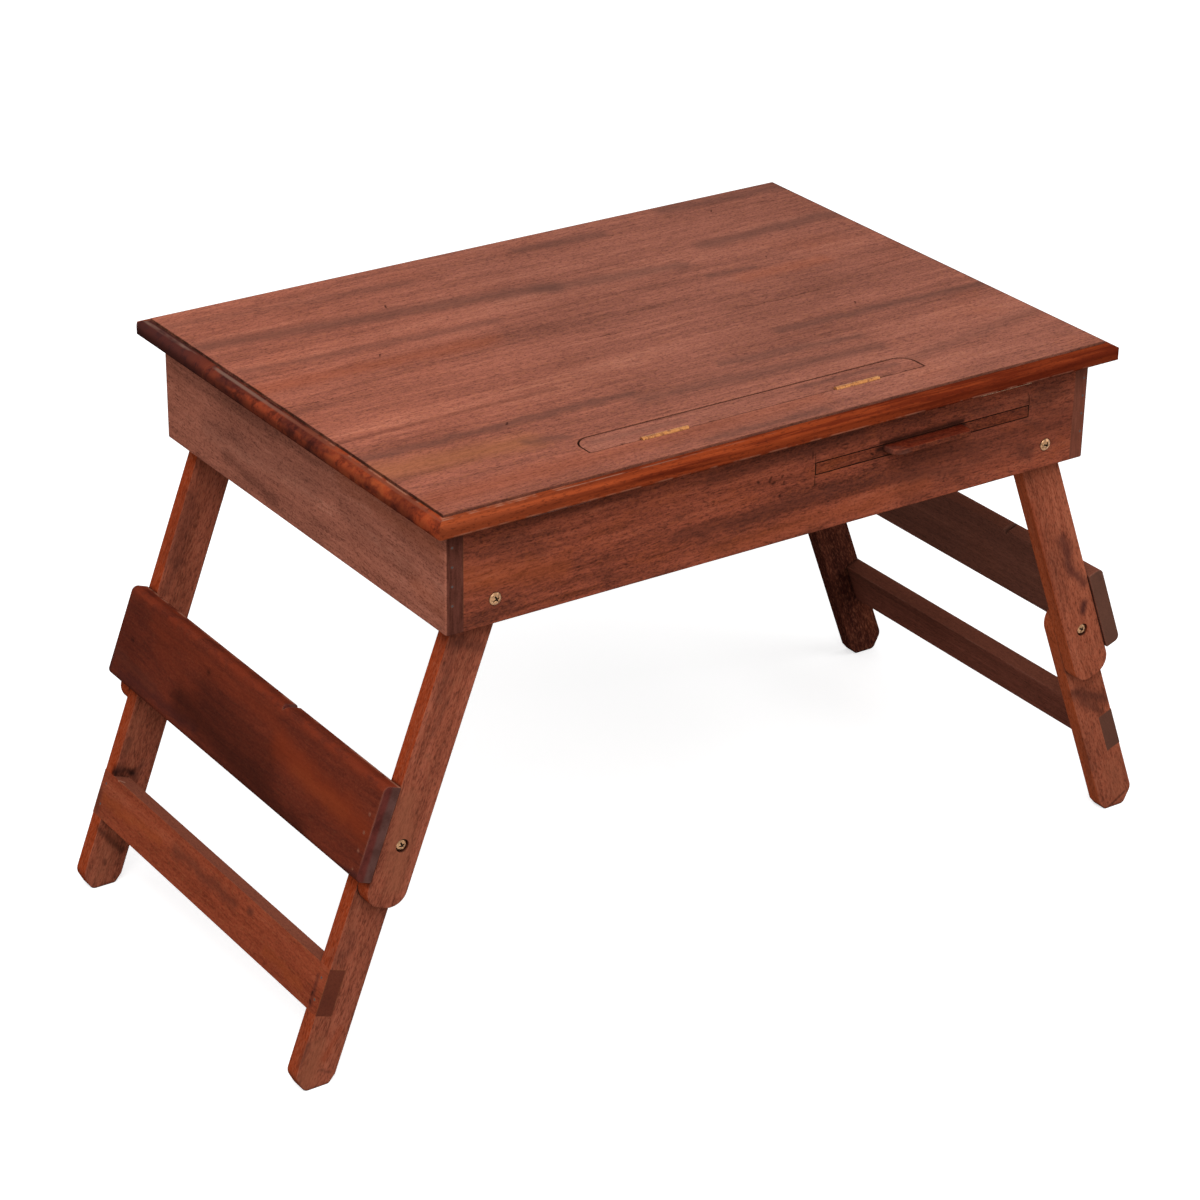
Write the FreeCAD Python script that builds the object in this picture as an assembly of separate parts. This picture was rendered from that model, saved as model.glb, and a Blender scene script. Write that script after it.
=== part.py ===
import FreeCAD, Part
import math
import os

Vector = FreeCAD.Vector

# A folding lap desk in hardwood, in millimetres: X along the long side, Y from front to back, Z up.
# The origin is on the floor under the middle of the lid. The left leg frame is at negative X.

# Lid
lidLength = 559.0
lidDepth = 406.0
lidThickness = 12.7
lidCornerRadius = 6.0
lidBoardCount = 4
mouldingWidth = 9.0
mouldingStep = 1.5
mouldingFall = 2.1
sideMouldingRound = 3.6
endMouldingRound = 6.8
sideBottomEase = 1.2
endBottomEase = 2.6

# Box under the lid
boardThickness = 12.7
apronHeight = 76.0
endOverhang = 15.0
sideOverhang = 15.5
cornerRound = 2.7
edgeEase = 0.8

# Leg frames
splayAngle = 20.5
legWidth = 31.5
legThickness = 12.7
legEase = 0.9
sideGap = 0.4
stopGap = 0.2
pivotHeight = 17.6
kneeSpan = 179.0
upperTipLength = 45.0
upperTipRound = 13.0
kneeGap = 0.3
lowerReach = 184.8
footFlatOuter = 5.0
footFlatInner = 13.4
footHeelHeight = 13.0
footToeHeight = 6.2
footHeelRound = 8.0
footBallRound = 5.0
footToeRound = 3.0

# Wide board across the outer edges of the upper legs
wideBoardStart = 138.3
wideBoardWidth = 68.3
leftBoardOverhang = 0.6
rightBoardOverhang = 1.8
wideBoardLowerRound = 4.5
leftBoardUpperRound = 4.5
rightBoardUpperRound = 5.0
wideBoardEase = 0.6
foldGap = 0.3
notchWidth = 7.0
notchDepth = 3.4
leftNotchY = -43.0
rightNotchY = -82.0
boardNailCount = 4
boardNailPitch = 13.0
boardNailMargin = 22.7
boardNailGrip = 10.0

# Stretcher let into the outer edges of the lower legs
stretcherStart = 96.5
stretcherWidth = 34.0
stretcherThickness = 12.7
stretcherNailPitch = 16.0

# Round-head screws at the pivots and knees
screwRadius = 2.0
screwHeadRadius = 4.5
screwHeadHeight = 2.3
screwGrip = 11.0
screwHeadGap = 0.1
screwSinkGap = 0.35
recessWidth = 1.0
recessLength = 4.8
recessDepth = 1.5
runningGap = 0.05
tightGap = 0.01

# Nails
nailRadius = 0.9
nailLength = 22.0
cornerNailInset = 4.4
cornerNailDrop = 15.0
cornerNailPitch = 13.5
cornerNailCount = 4

# Book stop let into the lid
stopLength = 277.0
stopWidth = 23.0
stopThickness = 7.0
stopCentreX = -2.5
stopFrontInset = 40.0
stopKerf = 1.4
stopSeat = 0.1
stopBackRound = 13.0
stopFrontRound = 1.5
stopEdgeEase = 0.5
stopAxisSink = 0.5
stopWallGap = 0.7
stopEdgeGap = 0.1
stopHingeLength = 37.0
stopHingeX = 79.2
stopKnuckleRadius = 2.0
stopPinRadius = 0.9
stopLeafThickness = 0.9
stopLeafDepth = 6.0
stopScrewScale = 0.6

# Lid hinges at the front
lidHingeEndGap = 59.5
lidHingeLength = 44.0
lidHingeReach = 6.0
lidHingeDrop = 2.5
lidKnuckleRadius = 2.2
lidPinRadius = 1.0
lidLeafThickness = 1.2
lidLeafWidth = 16.5
lidMortiseGap = 2.0
hingeKnuckleCount = 5
hingeKnuckleGap = 0.15
leafScrewRadius = 1.3
leafScrewLength = 8.0
leafScrewMargin = 8.0
leafScrewHeadRadius = 2.3
leafScrewHeadHeight = 0.9

# Pull-out tray
trayEndGap = 41.3
trayWidth = 185.5
trayHeight = 9.4
trayAboveApronBottom = 42.3
traySlotGap = 0.3
trayTopGap = 0.9
trayDepth = 240.0
trayBottomThickness = 3.6
trayRimWidth = 8.0
trayFrontWidth = 14.0
trayTravel = 170.0
trayEase = 0.4
pullStart = 57.5
pullLength = 67.5
pullBottomRise = 4.6
pullHeight = 4.5
pullProjection = 13.0
pullEndRound = 8.0
pullEase = 1.0
stopCleatWidth = 60.0
stopCleatDepth = 10.0
stopCleatHeight = 6.0
guideWrap = 6.0
guideWall = 10.0
guideLip = 8.0
overcutWidth = 0.35
overcutDepth = 0.8
overcutLength = 7.5

# Lid prop and its notched rails
propBackGap = 11.8
propDrop = 7.5
propArmWidth = 14.0
propArmHeight = 13.0
propArmEndRound = 6.0
propArmEndGap = 47.8
propBarRadius = 4.0
propRailWidth = 20.0
propRailPosition = 60.0
propBlockLength = 24.0
propBlockWidth = 16.0
propPinRadius = 2.0
ratchetWidth = 10.0
ratchetHeight = 14.0
ratchetGap = 0.3
ratchetLength = 108.0
ratchetBackGap = 6.8
ratchetAngles = (16.0, 22.0, 28.0, 34.0, 40.0)
ratchetNotchDepth = 4.0
barEndGap = 0.8

# Places that follow from the sizes above
boxLength = lidLength - 2 * endOverhang
boxDepth = lidDepth - 2 * sideOverhang
splay = math.radians(splayAngle)
legHalf = legWidth / 2
boxEndX = boxLength / 2
boxFaceY = boxDepth / 2
boxInnerX = boxEndX - boardThickness
boxInnerY = boxFaceY - boardThickness
pivotZ = (kneeSpan + lowerReach) * math.cos(splay)
apronBottom = pivotZ - pivotHeight
apronTop = apronBottom + apronHeight
lidTop = apronTop + lidThickness
pivotX = boxInnerX - pivotHeight * math.tan(splay) - (legHalf + stopGap) / math.cos(splay)
upperOuterY = boxInnerY - sideGap
upperInnerY = upperOuterY - legThickness
lowerOuterY = upperInnerY - sideGap
lowerInnerY = lowerOuterY - legThickness
lowerHalf = legHalf - kneeGap
lidFrontY = -lidDepth / 2
lidAxisY = -boxFaceY - lidHingeReach
lidAxisZ = apronTop - lidHingeDrop
stopAxisY = lidFrontY + stopFrontInset
stopAxisZ = lidTop - stopAxisSink
lidHingeX = boxEndX - lidHingeEndGap - lidHingeLength / 2
trayRight = boxInnerX - trayEndGap
trayLeft = trayRight - trayWidth
pullLeft = trayLeft + pullStart
pullRight = pullLeft + pullLength
trayBottomZ = apronBottom + trayAboveApronBottom
slotTopZ = trayBottomZ + trayHeight
propSpan = (boxInnerY - propBackGap - propArmHeight / 2 - lidAxisY) / 2
propArmX = boxInnerX - propArmEndGap - propArmWidth / 2
propPivotY = lidAxisY + propSpan
propPivotZ = apronTop - propDrop
propFootY = propPivotY + propSpan
ratchetTop = propPivotZ - propBarRadius - ratchetGap
ratchetBack = boxInnerY - ratchetBackGap
ratchetFront = ratchetBack - ratchetLength


def box(x0, x1, y0, y1, z0, z1):
    return Part.makeBox(x1 - x0, y1 - y0, z1 - z0, Vector(x0, y0, z0))


def cylinder(radius, start, end):
    run = end.sub(start)
    return Part.makeCylinder(radius, run.Length, start, run)


def eased(solid, radius, chosen=lambda middle: True):
    edges = [edge for edge in solid.Edges if chosen(edge.CenterOfMass)]
    return solid.makeFillet(radius, edges)


def roundedFace(corners, place):
    # Each corner is (a, b, radius) in its own plane; place turns (a, b) into a point.
    starts, middles, ends = [], [], []
    for index, (a, b, radius) in enumerate(corners):
        here = Vector(a, b, 0)
        before = Vector(*corners[index - 1][:2], 0).sub(here).normalize()
        after = Vector(*corners[(index + 1) % len(corners)][:2], 0).sub(here).normalize()
        half = before.getAngle(after) / 2
        inward = before.add(after).normalize()
        starts.append(here.add(before.multiply(radius / math.tan(half))))
        ends.append(here.add(after.multiply(radius / math.tan(half))))
        middles.append(here.add(inward.multiply(radius / math.sin(half) - radius)))
    edges = []
    for index, radius in enumerate(corner[2] for corner in corners):
        previous, start = ends[index - 1], starts[index]
        if previous.sub(start).Length > 1e-4:
            edges.append(Part.makeLine(place(previous.x, previous.y), place(start.x, start.y)))
        if radius > 0:
            middle, end = middles[index], ends[index]
            arc = Part.Arc(place(start.x, start.y), place(middle.x, middle.y), place(end.x, end.y))
            edges.append(arc.toShape())
    return Part.Face(Part.Wire(Part.__sortEdges__(edges)))


def rectangle(a0, a1, b0, b1, radius):
    return [(a0, b0, radius), (a1, b0, radius), (a1, b1, radius), (a0, b1, radius)]


def group(solids):
    return Part.makeCompound(solids)


def mirrored(shape):
    return shape.mirror(Vector(0, 0, 0), Vector(1, 0, 0))


# Fasteners

def crossRecess(centre, along, depth):
    # Two crossed slots in a screw head; along is the way that the screw points.
    side = Vector(0, 0, 1) if abs(along.z) < 0.5 else Vector(0, 1, 0)
    other = along.cross(side)
    slots = []
    for long, short in ((side, other), (other, side)):
        corner = centre.sub(long * (recessLength / 2)).sub(short * (recessWidth / 2))
        wire = Part.makePolygon([
            corner,
            corner.add(long * recessLength),
            corner.add(long * recessLength).add(short * recessWidth),
            corner.add(short * recessWidth),
            corner,
        ])
        slots.append(Part.Face(wire).extrude(along * depth))
    return slots


def roundHeadScrew(seat, along, grip):
    # seat is the point under the head; the domed head stands back from it.
    crown = seat.sub(along * screwHeadHeight)
    dome = math.hypot(screwHeadRadius, screwHeadHeight) ** 2 / (2 * screwHeadHeight)
    ball = Part.makeSphere(dome, crown.add(along * dome))
    head = cylinder(screwHeadRadius, crown, seat).common(ball)
    shank = cylinder(screwRadius, seat, seat.add(along * grip))
    screw = head.fuse(shank)
    return screw.cut(crossRecess(crown, along, recessDepth)).removeSplitter()


def leafScrew(face, along, scale, gap=0):
    # A flat-head screw whose head is flush with the face of a hinge leaf.
    headHeight = leafScrewHeadHeight * scale
    shankRadius = leafScrewRadius * scale + gap
    end = face.add(along * (leafScrewLength * scale + gap))
    head = Part.makeCone(leafScrewHeadRadius * scale + gap, shankRadius, headHeight, face, along)
    shank = cylinder(shankRadius, face.add(along * headHeight), end)
    return head.fuse(shank).removeSplitter()


def leafScrewHole(face, along, scale):
    return leafScrew(face, along, scale, tightGap)


def nail(head, along, length):
    return cylinder(nailRadius, head, head.add(along * length))


def nailHole(head, along, length):
    return cylinder(nailRadius + tightGap, head, head.add(along * (length + tightGap)))


def cornerNailHeads():
    # Heads on the end grain of the end boards, down each corner, front and back.
    heads = []
    for side in (-1, 1):
        for face in (-1, 1):
            for index in range(cornerNailCount):
                z = apronTop - cornerNailDrop - index * cornerNailPitch
                heads.append((Vector(side * (boxEndX - cornerNailInset), face * boxFaceY, z),
                              Vector(0, -face, 0)))
    return heads


# Box

def traySlot():
    return box(trayLeft, trayRight, -boxFaceY - 1, -boxInnerY + 1, trayBottomZ, slotTopZ)


def slotOvercuts():
    # Saw marks that run a little past the slot's ends on the front face.
    back = -boxFaceY + overcutDepth
    leftMark = box(trayLeft - overcutWidth, trayLeft, -boxFaceY - 1, back,
                   trayBottomZ - overcutLength, slotTopZ + overcutLength)
    rightMark = box(trayRight, trayRight + overcutWidth, -boxFaceY - 1, back,
                    trayBottomZ, slotTopZ + overcutLength)
    return [leftMark, rightMark]


def pivotHoles(y0, y1, radius):
    holes = []
    for side in (-1, 1):
        holes.append(cylinder(radius, Vector(side * pivotX, y0, pivotZ), Vector(side * pivotX, y1, pivotZ)))
    return holes


def lidHingeMortises():
    half = lidHingeLength / 2
    mortises = []
    for side in (-1, 1):
        mortises.append(box(side * lidHingeX - half - lidMortiseGap, side * lidHingeX + half + lidMortiseGap / 4,
                            -boxFaceY - 1, lidAxisY + lidLeafWidth + stopGap,
                            lidAxisZ - lidHingeDrop, apronTop + 1))
    return mortises


def frontApron():
    apron = box(-boxInnerX, boxInnerX, -boxFaceY, -boxInnerY, apronBottom, apronTop)
    apron = eased(apron, edgeEase, lambda p: p.z < apronBottom + 1e-6 and abs(p.x) < 1e-6)
    tools = [traySlot()] + slotOvercuts() + lidHingeMortises()
    tools += pivotHoles(-boxFaceY - 1, -boxInnerY + 1, screwRadius + runningGap)
    tools += lidHingeScrews(leafScrewHole, False)
    return apron.cut(tools)


def backApron():
    apron = box(-boxInnerX, boxInnerX, boxInnerY, boxFaceY, apronBottom, apronTop)
    apron = eased(apron, edgeEase, lambda p: p.z < apronBottom + 1e-6 and abs(p.x) < 1e-6)
    return apron.cut(pivotHoles(boxInnerY - 1, boxFaceY + 1, screwRadius + runningGap))


def leftEndApron():
    corners = [
        (-boxEndX, -boxFaceY, cornerRound),
        (-boxInnerX, -boxFaceY, 0),
        (-boxInnerX, boxFaceY, 0),
        (-boxEndX, boxFaceY, cornerRound),
    ]
    outline = roundedFace(corners, lambda a, b: Vector(a, b, apronBottom))
    apron = outline.extrude(Vector(0, 0, apronHeight))
    apron = eased(apron, edgeEase, lambda p: p.z < apronBottom + 1e-6 and p.x < -boxInnerX - edgeEase)
    holes = [nailHole(head, along, nailLength) for head, along in cornerNailHeads() if head.x < 0]
    return apron.cut(holes)


# Pull-out tray and its guides

def trayGuide(wallX, lipX):
    # A grooved strip from the front board to the back board; the tray's edge runs in the groove.
    x0, x1 = sorted((wallX, lipX))
    strip = box(x0, x1, -boxInnerY, boxInnerY, trayBottomZ - guideLip, slotTopZ + guideLip)
    groove = box(trayLeft, trayRight, -boxInnerY - 1, boxInnerY + 1, trayBottomZ, slotTopZ)
    return strip.cut(groove)


def trayParts():
    left, right = trayLeft + traySlotGap, trayRight - traySlotGap
    front, back = -boxFaceY, -boxFaceY + trayDepth
    bottom, top = trayBottomZ + traySlotGap, slotTopZ - trayTopGap
    deck = bottom + trayBottomThickness
    innerFront = front + trayFrontWidth
    innerBack = back - trayRimWidth
    floorBoard = box(left, right, front, back, bottom, deck)
    frontRim = box(left, right, front, innerFront, deck, top)
    backRim = box(left, right, innerBack, back, deck, top)
    leftRim = box(left, left + trayRimWidth, innerFront, innerBack, deck, top)
    rightRim = box(right - trayRimWidth, right, innerFront, innerBack, deck, top)
    cleatX = (trayLeft + trayRight) / 2
    cleatFront = -boxInnerY + trayTravel + stopGap
    cleat = box(cleatX - stopCleatWidth / 2, cleatX + stopCleatWidth / 2,
                cleatFront, cleatFront + stopCleatDepth, bottom - stopCleatHeight, bottom)
    return {
        "tray_floor": eased(floorBoard, trayEase, lambda p: p.z < bottom + 1e-6),
        "tray_front_rim": eased(frontRim, trayEase, lambda p: p.z > top - 1e-6),
        "tray_back_rim": eased(backRim, trayEase, lambda p: p.z > top - 1e-6),
        "tray_left_rim": leftRim,
        "tray_right_rim": rightRim,
        "tray_stop_cleat": cleat,
        "tray_pull": trayPull(),
    }


def trayPull():
    # A small lipped bar on the tray's front, with its ends rounded in plan.
    bottom = trayBottomZ + pullBottomRise
    corners = [
        (pullLeft, -boxFaceY, 0),
        (pullLeft, -boxFaceY - pullProjection, pullEndRound),
        (pullRight, -boxFaceY - pullProjection, pullEndRound / 2),
        (pullRight, -boxFaceY, 0),
    ]
    pull = roundedFace(corners, lambda a, b: Vector(a, b, bottom)).extrude(Vector(0, 0, pullHeight))
    return eased(pull, pullEase, lambda p: p.y < -boxFaceY - 1e-6
                 and (p.z < bottom + 1e-6 or p.z > bottom + pullHeight - 1e-6))


# Notched rails for the lid prop

def footPlace(angle):
    # Where the prop's foot bar is when the lid is raised by this angle.
    turn = math.radians(angle)
    drop = propPivotZ - lidAxisZ
    y = lidAxisY + 2 * propSpan * math.cos(turn) - drop * math.sin(turn)
    z = lidAxisZ + drop * math.cos(turn)
    return y, z


def leftRatchetRail():
    rail = box(-boxInnerX, -boxInnerX + ratchetWidth, ratchetFront, ratchetBack,
               ratchetTop - ratchetHeight, ratchetTop)
    notches = []
    for angle in ratchetAngles:
        y = footPlace(angle)[0]
        z = ratchetTop + propBarRadius - ratchetNotchDepth
        notches.append(cylinder(propBarRadius + ratchetGap, Vector(-boxInnerX - 1, y, z),
                                Vector(-boxInnerX + ratchetWidth + 1, y, z)))
    return rail.cut(notches)


# Lid

def lidProfile(halfWidth, topRound, bottomEase):
    # Half of the moulded section as (distance from the middle, height, radius of the corner).
    flat = halfWidth - mouldingWidth
    stepZ = lidTop - mouldingStep
    right = [
        (halfWidth, apronTop, bottomEase),
        (halfWidth, stepZ - mouldingFall, topRound),
        (flat, stepZ, 0),
        (flat, lidTop, 0),
    ]
    left = [(-a, b, radius) for a, b, radius in reversed(right)]
    return right + left


def lidPanel():
    ends = lidProfile(lidLength / 2, endMouldingRound, endBottomEase)
    along = roundedFace(ends, lambda a, b: Vector(a, -lidDepth, b)).extrude(Vector(0, 2 * lidDepth, 0))
    sides = lidProfile(lidDepth / 2, sideMouldingRound, sideBottomEase)
    across = roundedFace(sides, lambda a, b: Vector(-lidLength, a, b)).extrude(Vector(2 * lidLength, 0, 0))
    corners = rectangle(-lidLength / 2, lidLength / 2, -lidDepth / 2, lidDepth / 2, lidCornerRadius)
    outline = roundedFace(corners, lambda a, b: Vector(a, b, apronTop - 1))
    return along.common(across).common(outline.extrude(Vector(0, 0, lidThickness + 2)))


def bookStopOutline(grow):
    front = stopAxisY + stopEdgeGap
    back = front + stopWidth - stopKerf - stopEdgeGap
    half = stopLength / 2 - stopKerf
    radius = stopBackRound - stopKerf
    return [
        (stopCentreX - half - grow, front - (stopEdgeGap + stopWallGap) * (grow > 0), stopFrontRound),
        (stopCentreX + half + grow, front - (stopEdgeGap + stopWallGap) * (grow > 0), stopFrontRound),
        (stopCentreX + half + grow, back + grow, radius + grow),
        (stopCentreX - half - grow, back + grow, radius + grow),
    ]


def stopRecess():
    floorZ = lidTop - stopThickness - stopSeat
    outline = roundedFace(bookStopOutline(stopKerf), lambda a, b: Vector(a, b, floorZ))
    return outline.extrude(Vector(0, 0, stopThickness + 1))


def hingeSections(centreX, length):
    # The knuckles along a hinge: (start, end, is it on the first leaf).
    pitch = length / hingeKnuckleCount
    sections = []
    for index in range(hingeKnuckleCount):
        start = centreX - length / 2 + index * pitch + hingeKnuckleGap / 2
        sections.append((start, start + pitch - hingeKnuckleGap, index % 2 == 0))
    return sections


def stopHingeCentres():
    return [stopCentreX - stopHingeX, stopCentreX + stopHingeX]


def stopLeaf(centreX, onLid):
    # A leaf in the wall of the recess or in the front edge of the flap, with its knuckles.
    wallY = stopAxisY - stopWallGap if onLid else stopAxisY + stopEdgeGap
    inner = wallY - stopLeafThickness if onLid else wallY + stopLeafThickness
    y0, y1 = sorted((wallY, inner))
    low = stopAxisZ - stopLeafDepth
    plateTop = stopAxisZ - stopKnuckleRadius - hingeKnuckleGap
    half = stopHingeLength / 2
    leaf = box(centreX - half, centreX + half, y0, y1, low, plateTop)
    bore = stopPinRadius + (tightGap if onLid else runningGap)
    for start, end, first in hingeSections(centreX, stopHingeLength):
        if first == onLid:
            ring = cylinder(stopKnuckleRadius, Vector(start, stopAxisY, stopAxisZ),
                            Vector(end, stopAxisY, stopAxisZ))
            web = box(start, end, y0, y1, plateTop, stopAxisZ)
            leaf = leaf.fuse([ring, web])
    pinHole = cylinder(bore, Vector(centreX - half - 1, stopAxisY, stopAxisZ),
                       Vector(centreX + half + 1, stopAxisY, stopAxisZ))
    return leaf.cut([pinHole] + stopHingeScrews(leafScrewHole, onLid)).removeSplitter()


def stopHingeRoom(centreX, onLid):
    # The wood taken away for a leaf and for all the knuckles beside it.
    half = stopHingeLength / 2 + stopSeat
    wallY = stopAxisY - stopWallGap if onLid else stopAxisY + stopEdgeGap
    inner = wallY - stopLeafThickness if onLid else wallY + stopLeafThickness
    y0, y1 = sorted((wallY + (1 if onLid else -1), inner))
    plate = box(centreX - half, centreX + half, y0, y1, stopAxisZ - stopLeafDepth, lidTop + 1)
    room = cylinder(stopKnuckleRadius + kneeGap, Vector(centreX - half, stopAxisY, stopAxisZ),
                    Vector(centreX + half, stopAxisY, stopAxisZ))
    return [plate, room]


def stopHingeScrews(make, onLid):
    screws = []
    wallY = stopAxisY - stopWallGap if onLid else stopAxisY + stopEdgeGap
    along = Vector(0, -1, 0) if onLid else Vector(0, 1, 0)
    z = stopAxisZ - (stopLeafDepth + stopKnuckleRadius) / 2
    for centreX in stopHingeCentres():
        for side in (-1, 1):
            x = centreX + side * (stopHingeLength / 2 - leafScrewMargin)
            screws.append(make(Vector(x, wallY, z), along, stopScrewScale))
    return screws


def lidLeaf(centreX, onLid):
    # A leaf under the lid or on the bottom of the mortise in the front board.
    sign = 1 if onLid else -1
    face = lidAxisZ + sign * lidHingeDrop
    inner = face - sign * lidLeafThickness
    z0, z1 = sorted((face, inner))
    half = lidHingeLength / 2
    plateFront = lidAxisY + lidKnuckleRadius + hingeKnuckleGap
    leaf = box(centreX - half, centreX + half, plateFront, lidAxisY + lidLeafWidth, z0, z1)
    for start, end, first in hingeSections(centreX, lidHingeLength):
        if first != onLid:
            ring = cylinder(lidKnuckleRadius, Vector(start, lidAxisY, lidAxisZ),
                            Vector(end, lidAxisY, lidAxisZ))
            web = box(start, end, lidAxisY, plateFront, z0, z1)
            leaf = leaf.fuse([ring, web])
    bore = lidPinRadius + (runningGap if onLid else tightGap)
    pinHole = cylinder(bore, Vector(centreX - half - 1, lidAxisY, lidAxisZ),
                       Vector(centreX + half + 1, lidAxisY, lidAxisZ))
    return leaf.cut([pinHole] + lidHingeScrews(leafScrewHole, onLid)).removeSplitter()


def lidHingeScrews(make, onLid):
    sign = 1 if onLid else -1
    z = lidAxisZ + sign * (lidHingeDrop - lidLeafThickness)
    y = lidAxisY + (lidLeafWidth + lidHingeReach) / 2
    screws = []
    for side in (-1, 1):
        for part in (-1, 0, 1):
            x = side * lidHingeX + part * (lidHingeLength / 2 - leafScrewMargin)
            screws.append(make(Vector(x, y, z), Vector(0, 0, sign), 1))
    return screws


def hingePins(radius, centres, length, y, z):
    return group([cylinder(radius, Vector(x - length / 2, y, z), Vector(x + length / 2, y, z))
                  for x in centres])


def lidBoards():
    tools = [stopRecess()]
    for centreX in stopHingeCentres():
        tools += stopHingeRoom(centreX, True)
    tools += stopHingeScrews(leafScrewHole, True)
    tools += lidHingeScrews(leafScrewHole, True)
    panel = lidPanel().cut(tools)
    width = lidDepth / lidBoardCount
    boards = {}
    for index in range(lidBoardCount):
        front = lidFrontY + index * width
        strip = box(-lidLength, lidLength, front, front + width, apronTop - 1, lidTop + 1)
        boards["lid_board_%d" % (index + 1)] = panel.common(strip)
    return boards


def bookStop():
    outline = roundedFace(bookStopOutline(0), lambda a, b: Vector(a, b, lidTop - stopThickness))
    flap = outline.extrude(Vector(0, 0, stopThickness))
    flap = eased(flap, stopEdgeEase, lambda p: p.z > lidTop - 1e-6 and p.y > stopAxisY + 1)
    tools = []
    for centreX in stopHingeCentres():
        tools += stopHingeRoom(centreX, False)
    return flap.cut(tools + stopHingeScrews(leafScrewHole, False))


# Lid prop

def propArm(side):
    half = propArmHeight / 2
    corners = rectangle(propPivotY - half, propFootY + half, propPivotZ - half,
                        propPivotZ + half, propArmEndRound)
    x0 = side * propArmX - propArmWidth / 2
    arm = roundedFace(corners, lambda a, b: Vector(x0, a, b)).extrude(Vector(propArmWidth, 0, 0))
    pivot = cylinder(propPinRadius + runningGap, Vector(x0 - 1, propPivotY, propPivotZ),
                     Vector(x0 + propArmWidth + 1, propPivotY, propPivotZ))
    foot = cylinder(propBarRadius + tightGap, Vector(x0 - 1, propFootY, propPivotZ),
                    Vector(x0 + propArmWidth + 1, propFootY, propPivotZ))
    return arm.cut([pivot, foot])


def propCrossRail():
    inner = propArmX - propArmWidth / 2
    middle = propPivotY + propRailPosition
    half = propArmHeight / 2
    rail = box(-inner, inner, middle - propRailWidth / 2, middle + propRailWidth / 2,
               propPivotZ - half, propPivotZ + half)
    return eased(rail, edgeEase, lambda p: abs(p.x) < 1e-6)


def propFootBar():
    end = boxInnerX - barEndGap
    return cylinder(propBarRadius, Vector(-end, propFootY, propPivotZ), Vector(end, propFootY, propPivotZ))


def propPinEnds(side):
    inner = propArmX - propArmWidth / 2
    outer = propArmX + propArmWidth / 2 + sideGap + propBlockWidth
    return Vector(side * inner, propPivotY, propPivotZ), Vector(side * outer, propPivotY, propPivotZ)


def propBlock(side):
    # A small block under the lid beside each arm; it holds the arm's pin.
    inner = propArmX + propArmWidth / 2 + sideGap
    x0, x1 = sorted((side * inner, side * (inner + propBlockWidth)))
    low = propPivotZ - propArmHeight / 2
    corners = [
        (propPivotY - propBlockLength / 2, apronTop, 0),
        (propPivotY + propBlockLength / 2, apronTop, 0),
        (propPivotY + propBlockLength / 2, low, edgeEase * 5),
        (propPivotY - propBlockLength / 2, low, edgeEase * 5),
    ]
    block = roundedFace(corners, lambda a, b: Vector(x0, a, b)).extrude(Vector(x1 - x0, 0, 0))
    start, end = propPinEnds(side)
    return block.cut(cylinder(propPinRadius + tightGap, start, end))


# Leg frames, drawn for the left side; u runs down the leg from its pivot and v outwards

def leftPlace(u, v, y):
    x = -pivotX - u * math.sin(splay) - v * math.cos(splay)
    z = pivotZ - u * math.cos(splay) + v * math.sin(splay)
    return Vector(x, y, z)


def legSlab(corners, y0, y1, ease):
    face = roundedFace(corners, lambda a, b: leftPlace(a, b, y0))
    slab = face.extrude(Vector(0, y1 - y0, 0))
    return eased(slab, ease, lambda p: min(abs(p.y - y0), abs(p.y - y1)) < 1e-6)


def upperLegCorners():
    tip = kneeSpan + upperTipLength
    return [
        (-legHalf, -legHalf, legHalf),
        (-legHalf, legHalf, legHalf),
        (tip, legHalf, upperTipRound),
        (tip, -legHalf, upperTipRound),
    ]


def lowerLegCorners():
    floor = kneeSpan + lowerReach
    rise = math.cos(splay)
    lean = lowerHalf * math.sin(splay)
    heelU = (pivotZ - footHeelHeight + lean) / rise
    toeU = (pivotZ - footToeHeight - lean) / rise
    return [
        (kneeSpan - lowerHalf, -lowerHalf, lowerHalf),
        (kneeSpan - lowerHalf, lowerHalf, lowerHalf),
        (heelU, lowerHalf, footHeelRound),
        (floor + footFlatOuter * math.sin(splay), footFlatOuter * rise, footBallRound),
        (floor - footFlatInner * math.sin(splay), -footFlatInner * rise, footToeRound),
        (toeU, -lowerHalf, footToeRound),
    ]


def screwAxis(u, y, face):
    return leftPlace(u, 0, face * y), Vector(0, -face, 0)


def pivotScrew(face):
    seat, along = screwAxis(0, boxFaceY + screwHeadGap, face)
    return roundHeadScrew(seat, along, screwHeadGap + boardThickness + sideGap + screwGrip)


def kneeScrew(face):
    seat, along = screwAxis(kneeSpan, upperOuterY - screwHeadHeight, face)
    return roundHeadScrew(seat, along, legThickness - screwHeadHeight + sideGap + screwGrip)


def gripHole(u, y, face):
    # A hole for a screw's grip that starts at the outer face of a leg.
    seat, along = screwAxis(u, y, face)
    return cylinder(screwRadius + tightGap, seat.sub(along), seat.add(along * (screwGrip + tightGap)))


def kneeClearance(face):
    seat, along = screwAxis(kneeSpan, upperOuterY, face)
    hole = cylinder(screwRadius + runningGap, seat.sub(along), seat.add(along * (legThickness + 1)))
    sink = cylinder(screwHeadRadius + screwSinkGap, seat.sub(along),
                    seat.add(along * (screwHeadHeight + screwHeadGap)))
    return [hole, sink]


def boardNails(make):
    nails = []
    outer = legHalf + boardThickness
    along = leftPlace(0, -1, 0).sub(leftPlace(0, 0, 0))
    for face in (-1, 1):
        y = face * (upperOuterY + upperInnerY) / 2
        for index in range(boardNailCount):
            u = wideBoardStart + boardNailMargin + index * boardNailPitch
            nails.append(make(leftPlace(u, outer, y), along, boardThickness + boardNailGrip))
    return nails


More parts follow.
